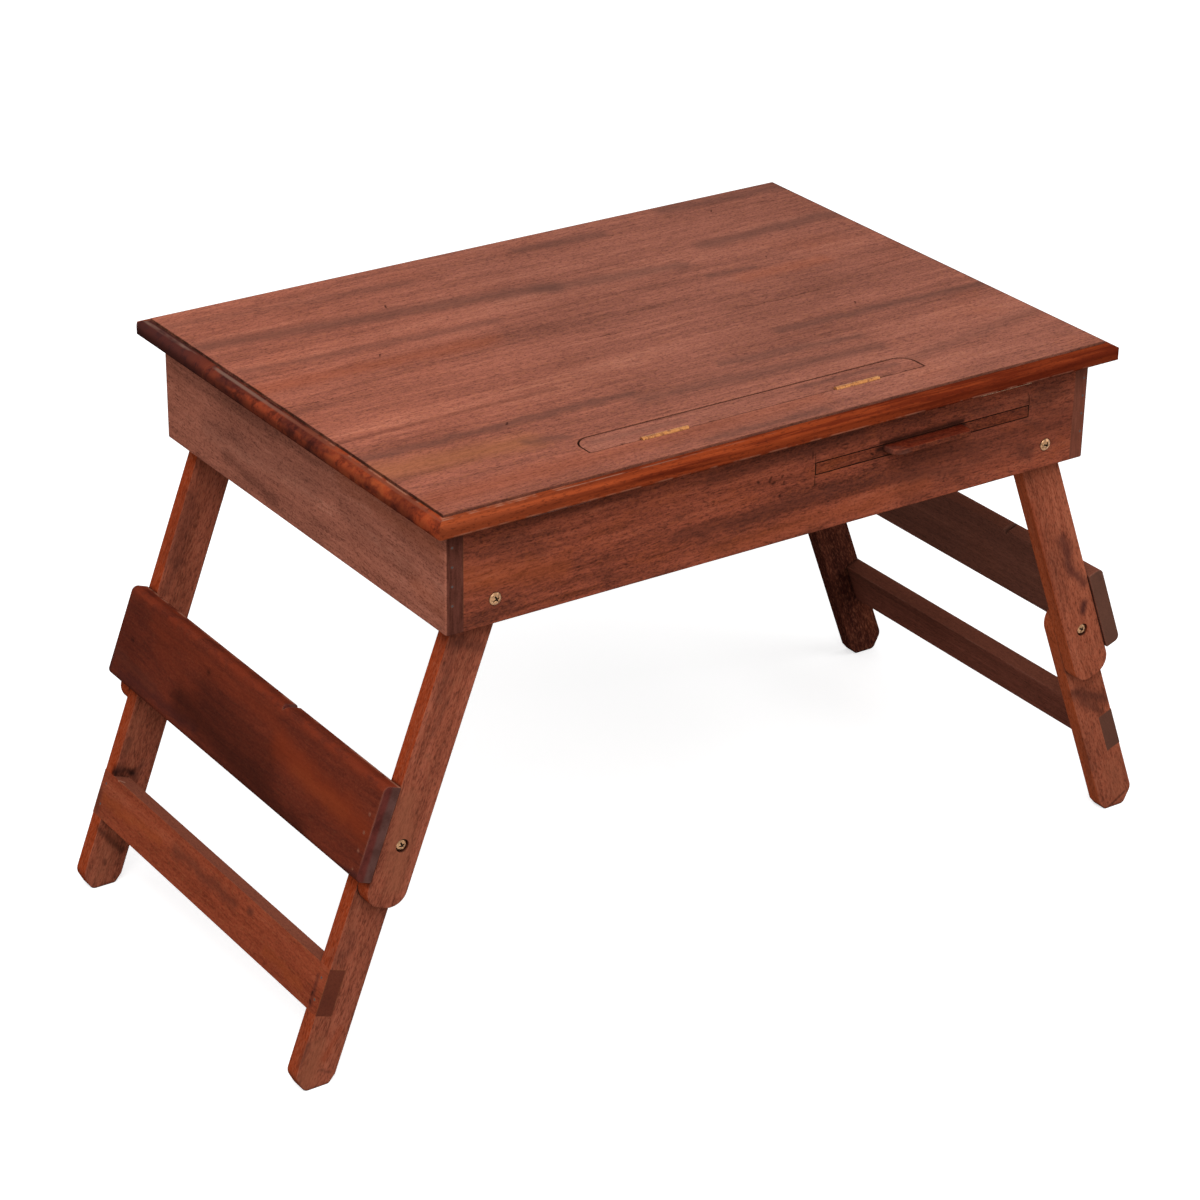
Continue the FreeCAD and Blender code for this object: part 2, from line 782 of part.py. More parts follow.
def stretcherNails(make):
    nails = []
    along = leftPlace(0, -1, 0).sub(leftPlace(0, 0, 0))
    middle = kneeSpan + stretcherStart + stretcherWidth / 2
    for face in (-1, 1):
        y = face * (lowerOuterY + lowerInnerY) / 2
        for step in (-0.5, 0.5):
            head = leftPlace(middle + step * stretcherNailPitch, lowerHalf, y)
            nails.append(make(head, along, nailLength))
    return nails


def upperLeg(face):
    leg = legSlab(upperLegCorners(), face * upperInnerY, face * upperOuterY, legEase)
    tools = [gripHole(0, upperOuterY, face)] + kneeClearance(face)
    return leg.cut(tools + boardNails(nailHole))


def lowerLeg(face):
    leg = legSlab(lowerLegCorners(), face * lowerInnerY, face * lowerOuterY, legEase)
    return leg.cut([gripHole(kneeSpan, lowerOuterY, face), stretcherBlank()] + stretcherNails(nailHole))


def stretcherBlank():
    start = kneeSpan + stretcherStart
    corners = rectangle(start, start + stretcherWidth, lowerHalf - stretcherThickness, lowerHalf, 0)
    face = roundedFace(corners, lambda a, b: leftPlace(a, b, -lowerOuterY))
    return face.extrude(Vector(0, 2 * lowerOuterY, 0))


def stretcher():
    return stretcherBlank().cut(stretcherNails(nailHole))


def wideBoard(overhang, notchY, upperRound):
    end = wideBoardStart + wideBoardWidth
    outer = legHalf + boardThickness
    corners = [
        (wideBoardStart, legHalf, wideBoardEase * 1.5),
        (wideBoardStart, outer, upperRound),
        (end, outer, wideBoardLowerRound),
        (end, legHalf, wideBoardEase * 1.5),
    ]
    reach = upperOuterY + overhang
    board = legSlab(corners, -reach, reach, wideBoardEase)
    notch = roundedFace([
        (wideBoardStart - 1, notchY - notchWidth / 2, 0),
        (wideBoardStart + notchDepth, notchY, 0),
        (wideBoardStart - 1, notchY + notchWidth / 2, 0),
    ], lambda a, b: leftPlace(a, legHalf - 1, b))
    through = leftPlace(0, boardThickness + 2, 0).sub(leftPlace(0, 0, 0))
    return board.cut([notch.extrude(through)] + boardNails(nailHole))


def legFrame(side):
    # All the pieces of one leg frame: upper stage first, then the lower stage.
    if side < 0:
        name, place = "left", lambda shape: shape
        overhang, notchY, upperRound = leftBoardOverhang, leftNotchY, leftBoardUpperRound
    else:
        name, place = "right", mirrored
        overhang, notchY, upperRound = rightBoardOverhang, rightNotchY, rightBoardUpperRound
    parts = {}
    for face, sign in (("front", -1), ("back", 1)):
        parts["%s_upper_leg_%s" % (name, face)] = place(upperLeg(sign))
        parts["%s_lower_leg_%s" % (name, face)] = place(lowerLeg(sign))
    parts["%s_wide_board" % name] = place(wideBoard(overhang, notchY, upperRound))
    parts["%s_stretcher" % name] = place(stretcher())
    parts["%s_board_nails" % name] = place(group(boardNails(nail)))
    parts["%s_stretcher_nails" % name] = place(group(stretcherNails(nail)))
    parts["%s_pivot_screws" % name] = place(group([pivotScrew(sign) for sign in (-1, 1)]))
    parts["%s_knee_screws" % name] = place(group([kneeScrew(sign) for sign in (-1, 1)]))
    return parts


def boxParts():
    leftEnd = leftEndApron()
    leftRail = leftRatchetRail()
    return {
        "front_apron": frontApron(),
        "back_apron": backApron(),
        "left_end_apron": leftEnd,
        "right_end_apron": mirrored(leftEnd),
        "corner_nails": group([nail(head, along, nailLength) for head, along in cornerNailHeads()]),
        "tray_guide_left": trayGuide(trayLeft - guideWall, trayLeft + guideWrap),
        "tray_guide_right": trayGuide(trayRight + guideWall, trayRight - guideWrap),
        "prop_ratchet_left": leftRail,
        "prop_ratchet_right": mirrored(leftRail),
        "lid_hinge_box_leaves": group([lidLeaf(side * lidHingeX, False) for side in (-1, 1)]),
        "lid_hinge_box_screws": group(lidHingeScrews(leafScrew, False)),
        "lid_hinge_pins": hingePins(lidPinRadius, (-lidHingeX, lidHingeX), lidHingeLength,
                                    lidAxisY, lidAxisZ),
    }


def lidParts():
    parts = lidBoards()
    parts["lid_hinge_lid_leaves"] = group([lidLeaf(side * lidHingeX, True) for side in (-1, 1)])
    parts["lid_hinge_lid_screws"] = group(lidHingeScrews(leafScrew, True))
    parts["book_stop_lid_leaves"] = group([stopLeaf(x, True) for x in stopHingeCentres()])
    parts["book_stop_lid_screws"] = group(stopHingeScrews(leafScrew, True))
    parts["book_stop_hinge_pins"] = hingePins(stopPinRadius, stopHingeCentres(), stopHingeLength,
                                              stopAxisY, stopAxisZ)
    parts["prop_block_left"] = propBlock(-1)
    parts["prop_block_right"] = propBlock(1)
    parts["prop_pins"] = group([cylinder(propPinRadius, *propPinEnds(side)) for side in (-1, 1)])
    return parts


def movingParts():
    return {
        "book_stop_flap": bookStop(),
        "book_stop_flap_leaves": group([stopLeaf(x, False) for x in stopHingeCentres()]),
        "book_stop_flap_screws": group(stopHingeScrews(leafScrew, False)),
        "prop_arm_left": propArm(-1),
        "prop_arm_right": propArm(1),
        "prop_cross_rail": propCrossRail(),
        "prop_foot_bar": propFootBar(),
    }


def main():
    os.makedirs("parts", exist_ok=True)
    parts = {}
    for made in (boxParts(), lidParts(), movingParts(), trayParts(), legFrame(-1), legFrame(1)):
        parts.update(made)
    for name, shape in parts.items():
        shape.exportStep("parts/%s.step" % name)
    fold = splayAngle + 90 - math.degrees(math.asin(
        (pivotHeight + foldGap - legHalf) / wideBoardStart))
    print("pieces", len(parts), "leg pivot", round(pivotX, 3), round(pivotZ, 3))
    print("knee", round(pivotX + kneeSpan * math.sin(splay), 3), round(pivotZ - kneeSpan * math.cos(splay), 3))
    print("lid axis", round(lidAxisY, 3), round(lidAxisZ, 3), "book stop axis", stopAxisY, round(stopAxisZ, 3))
    print("prop axis", round(propPivotY, 3), round(propPivotZ, 3), "leg fold limit", round(fold, 3))
    print("apron", round(apronBottom, 3), round(apronTop, 3), "lid top", round(lidTop, 3))


main()
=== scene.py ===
import math

import bmesh
import bpy
from mathutils import Matrix, Vector


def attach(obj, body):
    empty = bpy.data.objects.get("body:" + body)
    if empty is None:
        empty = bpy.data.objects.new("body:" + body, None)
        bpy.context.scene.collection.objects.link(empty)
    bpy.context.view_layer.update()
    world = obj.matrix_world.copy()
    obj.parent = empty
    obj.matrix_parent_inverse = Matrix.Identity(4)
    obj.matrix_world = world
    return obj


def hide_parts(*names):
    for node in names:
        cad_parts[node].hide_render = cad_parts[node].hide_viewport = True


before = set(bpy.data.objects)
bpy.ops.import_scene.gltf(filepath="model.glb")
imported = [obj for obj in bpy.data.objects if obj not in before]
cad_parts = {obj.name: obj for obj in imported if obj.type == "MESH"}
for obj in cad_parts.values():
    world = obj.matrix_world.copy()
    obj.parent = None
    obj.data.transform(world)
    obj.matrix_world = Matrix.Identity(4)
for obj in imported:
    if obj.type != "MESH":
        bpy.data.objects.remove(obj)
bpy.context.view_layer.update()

# The legs lean out by this angle, so their grain does too.
splay = math.radians(20.5)


# Shader maths written as plain expressions on sockets.

class Wire:
    def __init__(self, tree, socket):
        self.tree = tree
        self.socket = socket

    def math(self, operation, *others):
        return self.tree.node("ShaderNodeMath", {"operation": operation}, [self, *others])

    def __add__(self, other):
        return self.math("ADD", other)

    __radd__ = __add__

    def __sub__(self, other):
        return self.math("SUBTRACT", other)

    def __rsub__(self, other):
        return self.tree.node("ShaderNodeMath", {"operation": "SUBTRACT"}, [other, self])

    def __mul__(self, other):
        return self.math("MULTIPLY", other)

    __rmul__ = __mul__

    def fade(self, low, high):
        # 0 below low and 1 above high, or the other way round, with soft ends.
        return self.tree.node("ShaderNodeMapRange", {"interpolation_type": "SMOOTHSTEP"},
                              {"Value": self, "From Min": low, "From Max": high})


class NodeTree:
    # Adds nodes to any tree: a type, its settings, then the values or links of its sockets.
    def __init__(self, tree):
        self.tree = tree

    def node(self, kind, settings=None, inputs=(), out=0):
        made = self.tree.nodes.new(kind)
        for name, value in (settings or {}).items():
            if name == "stops":
                fillRamp(made.color_ramp, value)
            else:
                setattr(made, name, value)
        pairs = inputs.items() if isinstance(inputs, dict) else enumerate(inputs)
        for key, value in pairs:
            if isinstance(value, Wire):
                self.tree.links.new(value.socket, made.inputs[key])
            else:
                made.inputs[key].default_value = value
        return Wire(self, made.outputs[out]) if made.outputs else None


def fillRamp(ramp, stops):
    stops = list(stops)
    while len(ramp.elements) < len(stops):
        ramp.elements.new(0.5)
    for element, (place, colour) in zip(ramp.elements, stops):
        element.position = place
        element.color = (*colour, 1)


class Shader(NodeTree):
    def __init__(self, name):
        self.material = bpy.data.materials.new(name)
        self.material.use_nodes = True
        super().__init__(self.material.node_tree)
        self.tree.nodes.clear()
        self.here = self.node("ShaderNodeTexCoord", out="Object")
        self.facing = self.node("ShaderNodeTexCoord", out="Normal")

    def mix(self, first, second, amount, blend="MIX"):
        full = [(*value, 1) if isinstance(value, tuple) else value for value in (first, second)]
        return self.node("ShaderNodeMix", {"data_type": "RGBA", "blend_type": blend},
                         {0: amount, 6: full[0], 7: full[1]}, out=2)

    def vector(self, operation, first, second, out=0):
        return self.node("ShaderNodeVectorMath", {"operation": operation}, [first, second], out=out)

    def noise(self, place, stretch, detail=3.0, roughness=0.5, out=0):
        spread = self.vector("MULTIPLY", place, stretch)
        return self.node("ShaderNodeTexNoise", {}, {"Vector": spread, "Scale": 1.0, "Detail": detail,
                                                    "Roughness": roughness}, out=out)

    def shaken(self, place, scale, amount, detail=2.0):
        # The place moved about by a soft noise, so that what is drawn there has no ruled edges.
        drift = self.noise(place, (scale, scale, scale), detail, 0.6, out=1)
        centred = self.vector("SUBTRACT", drift, (0.5, 0.5, 0.5))
        return self.vector("ADD", place, self.vector("MULTIPLY", centred, (amount, amount, amount)))

    def axis(self, place, name):
        return self.node("ShaderNodeSeparateXYZ", {}, [place], out=name)

    def towards(self, direction, low=0.55, high=0.85):
        # 1 on faces that look along a direction.
        return self.vector("DOT_PRODUCT", self.facing, direction, out="Value").fade(low, high)

    def smear(self, place, start, end, width):
        # 1 along the line from start to end (millimetres) and 0 beyond width.
        first = Vector(start) / 1000
        run = Vector(end) / 1000 - first
        offset = self.vector("SUBTRACT", place, tuple(first))
        along = self.vector("DOT_PRODUCT", offset, tuple(run / run.length_squared), out="Value")
        held = self.node("ShaderNodeClamp", {}, [along])
        nearest = self.node("ShaderNodeVectorMath", {"operation": "SCALE"},
                            {0: tuple(run), "Scale": held})
        gap = self.vector("DISTANCE", offset, nearest, out="Value")
        return gap.fade(width / 1000, 0.0)

    def finish(self, inputs):
        surface = self.node("ShaderNodeBsdfPrincipled", {}, inputs)
        self.node("ShaderNodeOutputMaterial", {}, {"Surface": surface})
        return self.material


tones = {
    "dark": (0.075, 0.024, 0.017),
    "grey": (0.115, 0.052, 0.040),
    "black": (0.016, 0.006, 0.005),
    "plum": (0.052, 0.016, 0.015),
    "orange": (0.330, 0.070, 0.018),
    "yellow": (0.340, 0.130, 0.052),
    "pale": (0.520, 0.280, 0.190),
    "red": (0.230, 0.034, 0.010),
    "tan": (0.300, 0.095, 0.050),
    "pitch": (0.012, 0.007, 0.004),
    "stain": (0.085, 0.019, 0.012),
}


# Where the four shades of a wood, dark to light, lie on its grain.
shadePlaces = (0.28, 0.42, 0.54, 0.70)

# Smears wider than this (millimetres) have soft, wandering edges.
softWidth = 6

# What every wood look starts from; the looks below give their own values over these. Broad, fine, fibre,
# dashes and grit are noises by their scale per metre along and across the grain, patch by X, Y and Z.
woodDefaults = {
    "contrast": 1.7, "sway": 0.016, "patch": (9.0, 9.0, 14.0), "stainTone": tones["dark"],
    "broad": (2.6, 30.0, 30.0), "fine": (14.0, 260.0, 260.0), "fibre": (110.0, 640.0, 640.0),
    "dashes": (170.0, 900.0, 900.0), "pores": 0.30, "flecks": tones["yellow"], "fleckAmount": 0.25,
    "fleckShift": (0.37, 0.11, 0.23),
    "grit": (420.0, 800.0, 800.0), "gritAmount": 0.38, "gritLight": 0.26, "sides": (), "smears": (),
    "end": tones["dark"], "endAmount": 0.55, "worn": tones["yellow"], "wearWidth": 0.0013,
    "stainAndShade": 0.85, "stainAndShadeReach": 0.004, "relief": 0.22,
}


def woodFinish(ownLook):
    look = {**woodDefaults, **ownLook}
    shader = Shader(look["name"])
    here = shader.here
    turned = shader.node("ShaderNodeMapping", {}, {"Vector": here, "Rotation": look["turn"],
                                                   "Location": look["shift"]})
    wander = shader.noise(turned, (5.0, 9.0, 9.0), 2.0, 0.5, out=1)
    centred = shader.vector("SUBTRACT", wander, (0.5, 0.5, 0.5))
    sway = look["sway"]
    bent = shader.vector("ADD", turned, shader.vector("MULTIPLY", centred, (sway, sway, sway)))

    broad = shader.noise(bent, look["broad"], 4.0, 0.6)
    fine = shader.noise(bent, look["fine"], 3.0, 0.6)
    fibre = shader.noise(bent, look["fibre"], 2.0, 0.6)
    mingled = broad * 0.46 + fine * 0.30 + fibre * 0.24 - 0.5
    tone = mingled * look["contrast"] + 0.5
    colour = shader.node("ShaderNodeValToRGB", {"stops": zip(shadePlaces, look["shades"])}, [tone])

    patch = shader.noise(here, look["patch"], 3.0, 0.6)
    colour = shader.mix(colour, look["stainTone"], patch.fade(0.48, 0.74) * look["stain"])
    colour = shader.mix(colour, tones["orange"], patch.fade(0.46, 0.25) * look["glow"])

    pore = shader.noise(bent, look["dashes"], 2.0, 0.6)
    pores = pore.fade(0.55, 0.68)
    colour = shader.mix(colour, tones["black"], pores * look["pores"])
    beside = shader.vector("ADD", bent, look["fleckShift"])
    fleck = shader.noise(beside, look["dashes"], 2.0, 0.6)
    colour = shader.mix(colour, look["flecks"], fleck.fade(0.57, 0.72) * look["fleckAmount"])

    # Tints on faces that look one way: the legs' and pull's own colours, and painted light and shade on the
    # stretchers, the right wide board and the right back legs.
    for direction, tint, amount in look["sides"]:
        streak = broad.fade(0.30, 0.60) * 0.45 + 0.55
        colour = shader.mix(colour, tint, shader.towards(direction) * streak * amount)
    grit = shader.noise(bent, look["grit"], 2.0, 0.7)
    colour = shader.mix(colour, tones["black"], grit.fade(0.50, 0.66) * look["gritAmount"])
    colour = shader.mix(colour, look["flecks"], grit.fade(0.50, 0.34) * look["gritLight"])

    wide = shader.shaken(here, 60.0, 0.012, 3.0)
    thin = shader.shaken(here, 170.0, 0.0022)
    for start, end, width, toneName, strength in look["smears"]:
        place = wide if width > softWidth else thin
        colour = shader.mix(colour, tones[toneName], shader.smear(place, start, end, width) * strength)

    if "extra" in look:
        colour = look["extra"](shader, colour)

    turnedNormal = shader.node("ShaderNodeMapping", {"vector_type": "NORMAL"},
                               {"Vector": shader.facing, "Rotation": look["turn"]})
    endGrain = shader.axis(turnedNormal, "X").math("ABSOLUTE").fade(0.55, 0.98)
    colour = shader.mix(colour, look["end"], endGrain * look["endAmount"])

    bevelled = shader.node("ShaderNodeBevel", {"samples": 4}, {"Radius": look["wearWidth"]})
    flat = shader.node("ShaderNodeNewGeometry", {}, (), out="Normal")
    edge = 1.0 - shader.vector("DOT_PRODUCT", bevelled, flat, out="Value")
    rubbed = edge.fade(0.01, 0.16) * shader.noise(here, (40.0, 40.0, 40.0), 2.0).fade(0.38, 0.62)
    colour = shader.mix(colour, look["worn"], rubbed * look["wear"])

    # Stain and dirt gather where two pieces meet, and painted shade darkens the corners and recesses there
    # too.
    openness = shader.node("ShaderNodeAmbientOcclusion", {"samples": 6},
                           {"Distance": look["stainAndShadeReach"]}, out="AO")
    colour = shader.mix(colour, tones["black"], openness.fade(0.92, 0.30) * look["stainAndShade"])

    sheen = fine * 0.10 + patch * 0.14 + look["roughness"] - 0.12
    relief = fine * 0.5 + fibre * 0.35 - pores * 0.6
    normal = shader.node("ShaderNodeBump", {}, {"Height": relief, "Strength": look["relief"],
                                                "Distance": 0.0004})
    return shader.finish({"Base Color": colour, "Roughness": sheen, "Normal": normal,
                          "Specular IOR Level": 0.0})


def metalFinish(look):
    shader = Shader(look["name"])
    spots = shader.noise(shader.here, (420.0, 420.0, 420.0), 4.0, 0.65)
    scratch = shader.noise(shader.here, (90.0, 2400.0, 2400.0), 2.0, 0.5)
    cloud = shader.noise(shader.here, (110.0, 110.0, 110.0), 2.0, 0.5)
    colour = shader.mix(look["colour"], look["tarnish"], spots.fade(0.46, 0.66) * look["spotting"])
    colour = shader.mix(colour, look["bright"], scratch.fade(0.58, 0.74) * 0.4)
    if "extra" in look:
        colour = look["extra"](shader, colour)
    roughness = cloud * 0.25 + spots * 0.15 + look["roughness"] - 0.2
    normal = shader.node("ShaderNodeBump", {}, {"Height": spots * 0.6 + scratch * 0.4,
                                                "Strength": 0.2, "Distance": 0.0002})
    return shader.finish({"Base Color": colour, "Roughness": roughness, "Normal": normal,
                          "Metallic": look["metallic"], "Specular IOR Level": look.get("specular", 0.5)})


# Looks. Places are in millimetres on the real piece; colours are linear.

def onTop(rows):
    # Marks on the lid as (x, y, x, y, width, tone, strength).
    return [((a, b, 412), (c, d, 412), *rest) for a, b, c, d, *rest in rows]


def onFront(rows):
    # Marks on the front board as (x, z, x, z, width, tone, strength).
    return [((a, -187.5, b), (c, -187.5, d), *rest) for a, b, c, d, *rest in rows]


def onLeftEnd(rows):
    # Marks on the left end board as (y, z, y, z, width, tone, strength).
    return [((-264.5, a, b), (-264.5, c, d), *rest) for a, b, c, d, *rest in rows]


# The step's distance from the middle and heights on the edge (metres), how much warmer the lid's left is,
# and the tones of the lip's painted highlight, the arris's wear and painted highlight and the rubbed foot.
# Then the tones of the long edges and of the end edges.
lidEdge = {"stepX": 0.2705, "stepY": 0.194, "shadeTop": 0.4085, "shadeFoot": 0.4035,
           "rimTop": 0.4012, "rimFoot": 0.4004, "warmth": (1.16, 1.05, 0.99),
           "lipHighlight": (0.400, 0.190, 0.125), "arrisWearAndHighlight": (0.420, 0.190, 0.120),
           "rubbedFoot": (0.360, 0.150, 0.095)}

longEdge = {"warm": (0.270, 0.044, 0.012), "dark": (0.130, 0.018, 0.006), "left": (0.380, 0.085, 0.030),
            "grain": (0.360, 0.064, 0.018), "dots": (0.050, 0.009, 0.005), "low": (0.085, 0.010, 0.004)}

endEdge = {"warm": (0.290, 0.048, 0.019), "dark": (0.095, 0.019, 0.013), "mottle": (0.380, 0.095, 0.032),
           "near": (0.370, 0.052, 0.014), "dots": (0.034, 0.009, 0.007), "blotch": (0.050, 0.012, 0.009),
           "back": (0.046, 0.018, 0.018), "low": (0.030, 0.009, 0.007),
           "nearSheen": (0.210, 0.060, 0.034), "backSheen": (0.240, 0.140, 0.105)}


def longMoulding(shader, lower):
    # The lid's front and back edges: streaks along the edge, warmer at the left and darker below.
    here = shader.here
    east = shader.axis(here, "X")
    grain = shader.noise(here, (22.0, 700.0, 420.0), 4.0, 0.65)
    streaks = shader.noise(here, (6.0, 160.0, 120.0), 3.0, 0.6)
    dots = shader.noise(here, (240.0, 900.0, 700.0), 2.0, 0.6)
    colour = shader.mix(longEdge["warm"], longEdge["dark"], streaks.fade(0.42, 0.58))
    colour = shader.mix(colour, longEdge["left"], east.fade(-0.10, -0.26) * 0.45)
    colour = shader.mix(colour, longEdge["grain"], grain.fade(0.52, 0.66) * 0.45)
    colour = shader.mix(colour, longEdge["dots"], dots.fade(0.53, 0.68) * 0.45)
    return shader.mix(colour, longEdge["low"], lower * 0.25 + east.fade(-0.05, 0.25) * 0.40)


def endMoulding(shader, inset, lower):
    # The lid's left and right edges: blotchy, warm near the front, dull at the back, with a painted highlight
    # on the round.
    here = shader.here
    north = shader.axis(here, "Y")
    back = north.fade(0.03, 0.15)
    near = north.fade(-0.02, -0.15)
    blotch = shader.noise(here, (70.0, 24.0, 70.0), 3.0, 0.55)
    mottle = shader.noise(here, (90.0, 85.0, 90.0), 5.0, 0.72)
    colour = shader.mix(endEdge["warm"], endEdge["dark"], blotch.fade(0.42, 0.58))
    colour = shader.mix(colour, endEdge["mottle"], mottle.fade(0.44, 0.66) * (near * 0.60 + 0.20))
    colour = shader.mix(colour, endEdge["near"], near * 0.48)
    colour = shader.mix(colour, endEdge["dots"], mottle.fade(0.50, 0.36) * 0.66)
    colour = shader.mix(colour, endEdge["blotch"], blotch.fade(0.50, 0.60) * near * 0.45)
    colour = shader.mix(colour, endEdge["back"], back * 0.85)
    # Painted highlight: a pale sheen strip along the top of the round, browner at the front and greyer at the
    # back.
    lit = inset.fade(0.0012, 0.0022) * inset.fade(0.0048, 0.0034)
    sheen = shader.mix(endEdge["nearSheen"], endEdge["backSheen"], north.fade(-0.04, 0.06))
    colour = shader.mix(colour, sheen, lit * blotch.fade(0.36, 0.52) * 0.65)
    return shader.mix(colour, endEdge["low"], lower * (near * -0.35 + 0.65))


def lidMoulding(shader, colour):
    # The lid is warmer at the left; its edge is darker than the flat, with a dark line at the step.
    here = shader.here
    east = shader.axis(here, "X")
    north = shader.axis(here, "Y")
    height = shader.axis(here, "Z")
    colour = shader.mix(colour, lidEdge["warmth"], east.fade(0.05, -0.24), "MULTIPLY")
    wavy = shader.shaken(here, 60.0, 0.0007, 3.0)
    acrossEnds = shader.axis(wavy, "X").math("ABSOLUTE") - lidEdge["stepX"]
    acrossSides = shader.axis(wavy, "Y").math("ABSOLUTE") - lidEdge["stepY"]
    inset = acrossEnds.math("MAXIMUM", acrossSides)
    onEnds = (acrossEnds - acrossSides).fade(-0.0004, 0.0004)
    lower = height.fade(lidEdge["shadeTop"], lidEdge["shadeFoot"])
    stained = shader.mix(longMoulding(shader, lower), endMoulding(shader, inset, lower), onEnds)
    colour = shader.mix(colour, stained, inset.fade(0.0001, 0.0004))

    # A painted highlight runs along the lip; the top arris is pale with rubbed wear and a painted highlight;
    # the stain is rubbed off along the foot of the edge.
    pale = shader.noise(here, (60.0, 60.0, 60.0), 3.0, 0.6).fade(0.42, 0.60)
    # Painted highlight along the lip of the long edges, towards the left.
    lip = inset.fade(0.0020, 0.0026) * inset.fade(0.0036, 0.0028) * (1.0 - onEnds) * east.fade(0.05, -0.20)
    colour = shader.mix(colour, lidEdge["lipHighlight"], lip * pale * 0.55)
    # The top arris: rubbed wear with a painted highlight, at the front of the end edges and the left of the
    # long edges.
    rubbed = onEnds * north.fade(-0.02, -0.08) + (1.0 - onEnds) * east.fade(-0.17, -0.20)
    arris = inset.fade(0.0003, 0.0008) * inset.fade(0.0022, 0.0012)
    colour = shader.mix(colour, lidEdge["arrisWearAndHighlight"], arris * pale * rubbed * 0.65)
    foot = height.fade(lidEdge["rimTop"], lidEdge["rimFoot"]) * (1.0 - onEnds)
    colour = shader.mix(colour, lidEdge["rubbedFoot"], foot * pale * 0.45)
    # The dark line at the step is stain in the step with painted shade.
    line = inset.math("ABSOLUTE").fade(0.0008, 0.0001)
    return shader.mix(colour, tones["black"], line * (onEnds * 0.35 + 0.45) * (pale * -0.35 + 1.0))


# Stain has run into the joint along the front of the book stop.
stopLines = [
    (-140.5, -163.1, -100.5, -163.1, 0.9, "black", 0.85), (-63, -163.1, 58, -163.1, 0.7, "black", 0.6),
    (95.5, -163.1, 135.5, -163.1, 0.9, "black", 0.8),
]

lidLook = {
    "name": "lid wood",
    "turn": (0.0, 0.0, 0.0), "shift": (0.0, 0.13, 0.0),
    "shades": [(0.150, 0.056, 0.041), (0.250, 0.090, 0.064),
               (0.340, 0.120, 0.083), (0.450, 0.175, 0.118)],
    "contrast": 1.25, "sway": 0.008, "stain": 0.22, "glow": 0.14, "wear": 0.20,
    "roughness": 0.42, "endAmount": 0.0, "extra": lidMoulding,
    "pores": 0.32, "fleckAmount": 0.26, "stainAndShadeReach": 0.0025,
    "smears": onTop([
        (-265, 128, 0, 98, 17, "grey", 0.62), (-10, 96, 105, 82, 14, "grey", 0.5),
        (145, 108, 272, 113, 15, "grey", 0.6), (-265, 173, -80, 158, 11, "grey", 0.32),
        (20, 173, 92, 168, 11, "grey", 0.5), (160, 186, 272, 182, 13, "grey", 0.5),
        (-262, 73, -70, 62, 9, "grey", 0.4), (-270, 40, -90, 34, 16, "orange", 0.2),
        (130, 38, 200, 38, 14, "orange", 0.2), (110, 54, 148, 52, 6, "grey", 0.5),
        (-270, -64, -100, -62, 5, "dark", 0.4), (90, -58, 272, -62, 10, "grey", 0.55),
        (20, -86, 130, -96, 9, "grey", 0.5), (-270, -95, -62, -96, 9, "grey", 0.6),
        (-60, -108, 130, -118, 13, "grey", 0.45), (-268, -118, -165, -126, 22, "yellow", 0.4),
        (-165, -128, -140, -132, 9, "grey", 0.6), (-262, -172, 40, -166, 20, "orange", 0.18),
        (-62, -186, 32, -188, 7, "grey", 0.5), (120, -150, 272, -122, 12, "grey", 0.3),
        (-277, 5, -236, 2, 0.7, "black", 0.8), (-236, 2, -196, 5, 0.7, "black", 0.7),
        (-40, 0, 30, -4, 0.7, "black", 0.6), (88, -8, 128, -11, 0.8, "black", 0.8),
        (128, -11, 162, -9, 0.8, "black", 0.7), (206, 4, 276, 12, 0.7, "black", 0.6),
        (-119, 128, -121, 124, 1.3, "black", 0.8), (-169, 52, -171, 49, 1.2, "black", 0.8),
        (-159, -94, -161, -96, 1.3, "black", 0.8), (193, 167, 191, 164, 1.1, "black", 0.7),
        (169, 65, 168, 63, 1.1, "black", 0.7), (169, -42, 167, -45, 1.1, "black", 0.7),
        *stopLines,
    ]),
}

flapLook = {
    **{key: value for key, value in lidLook.items() if key != "extra"},
    "name": "book stop wood", "shift": (0.3, 0.05, 0.0), "endAmount": 0.3,
    "smears": onTop([
        (-130, -150, -60, -152, 6, "grey", 0.35), (40, -148, 120, -150, 6, "grey", 0.45), *stopLines,
    ]),
}

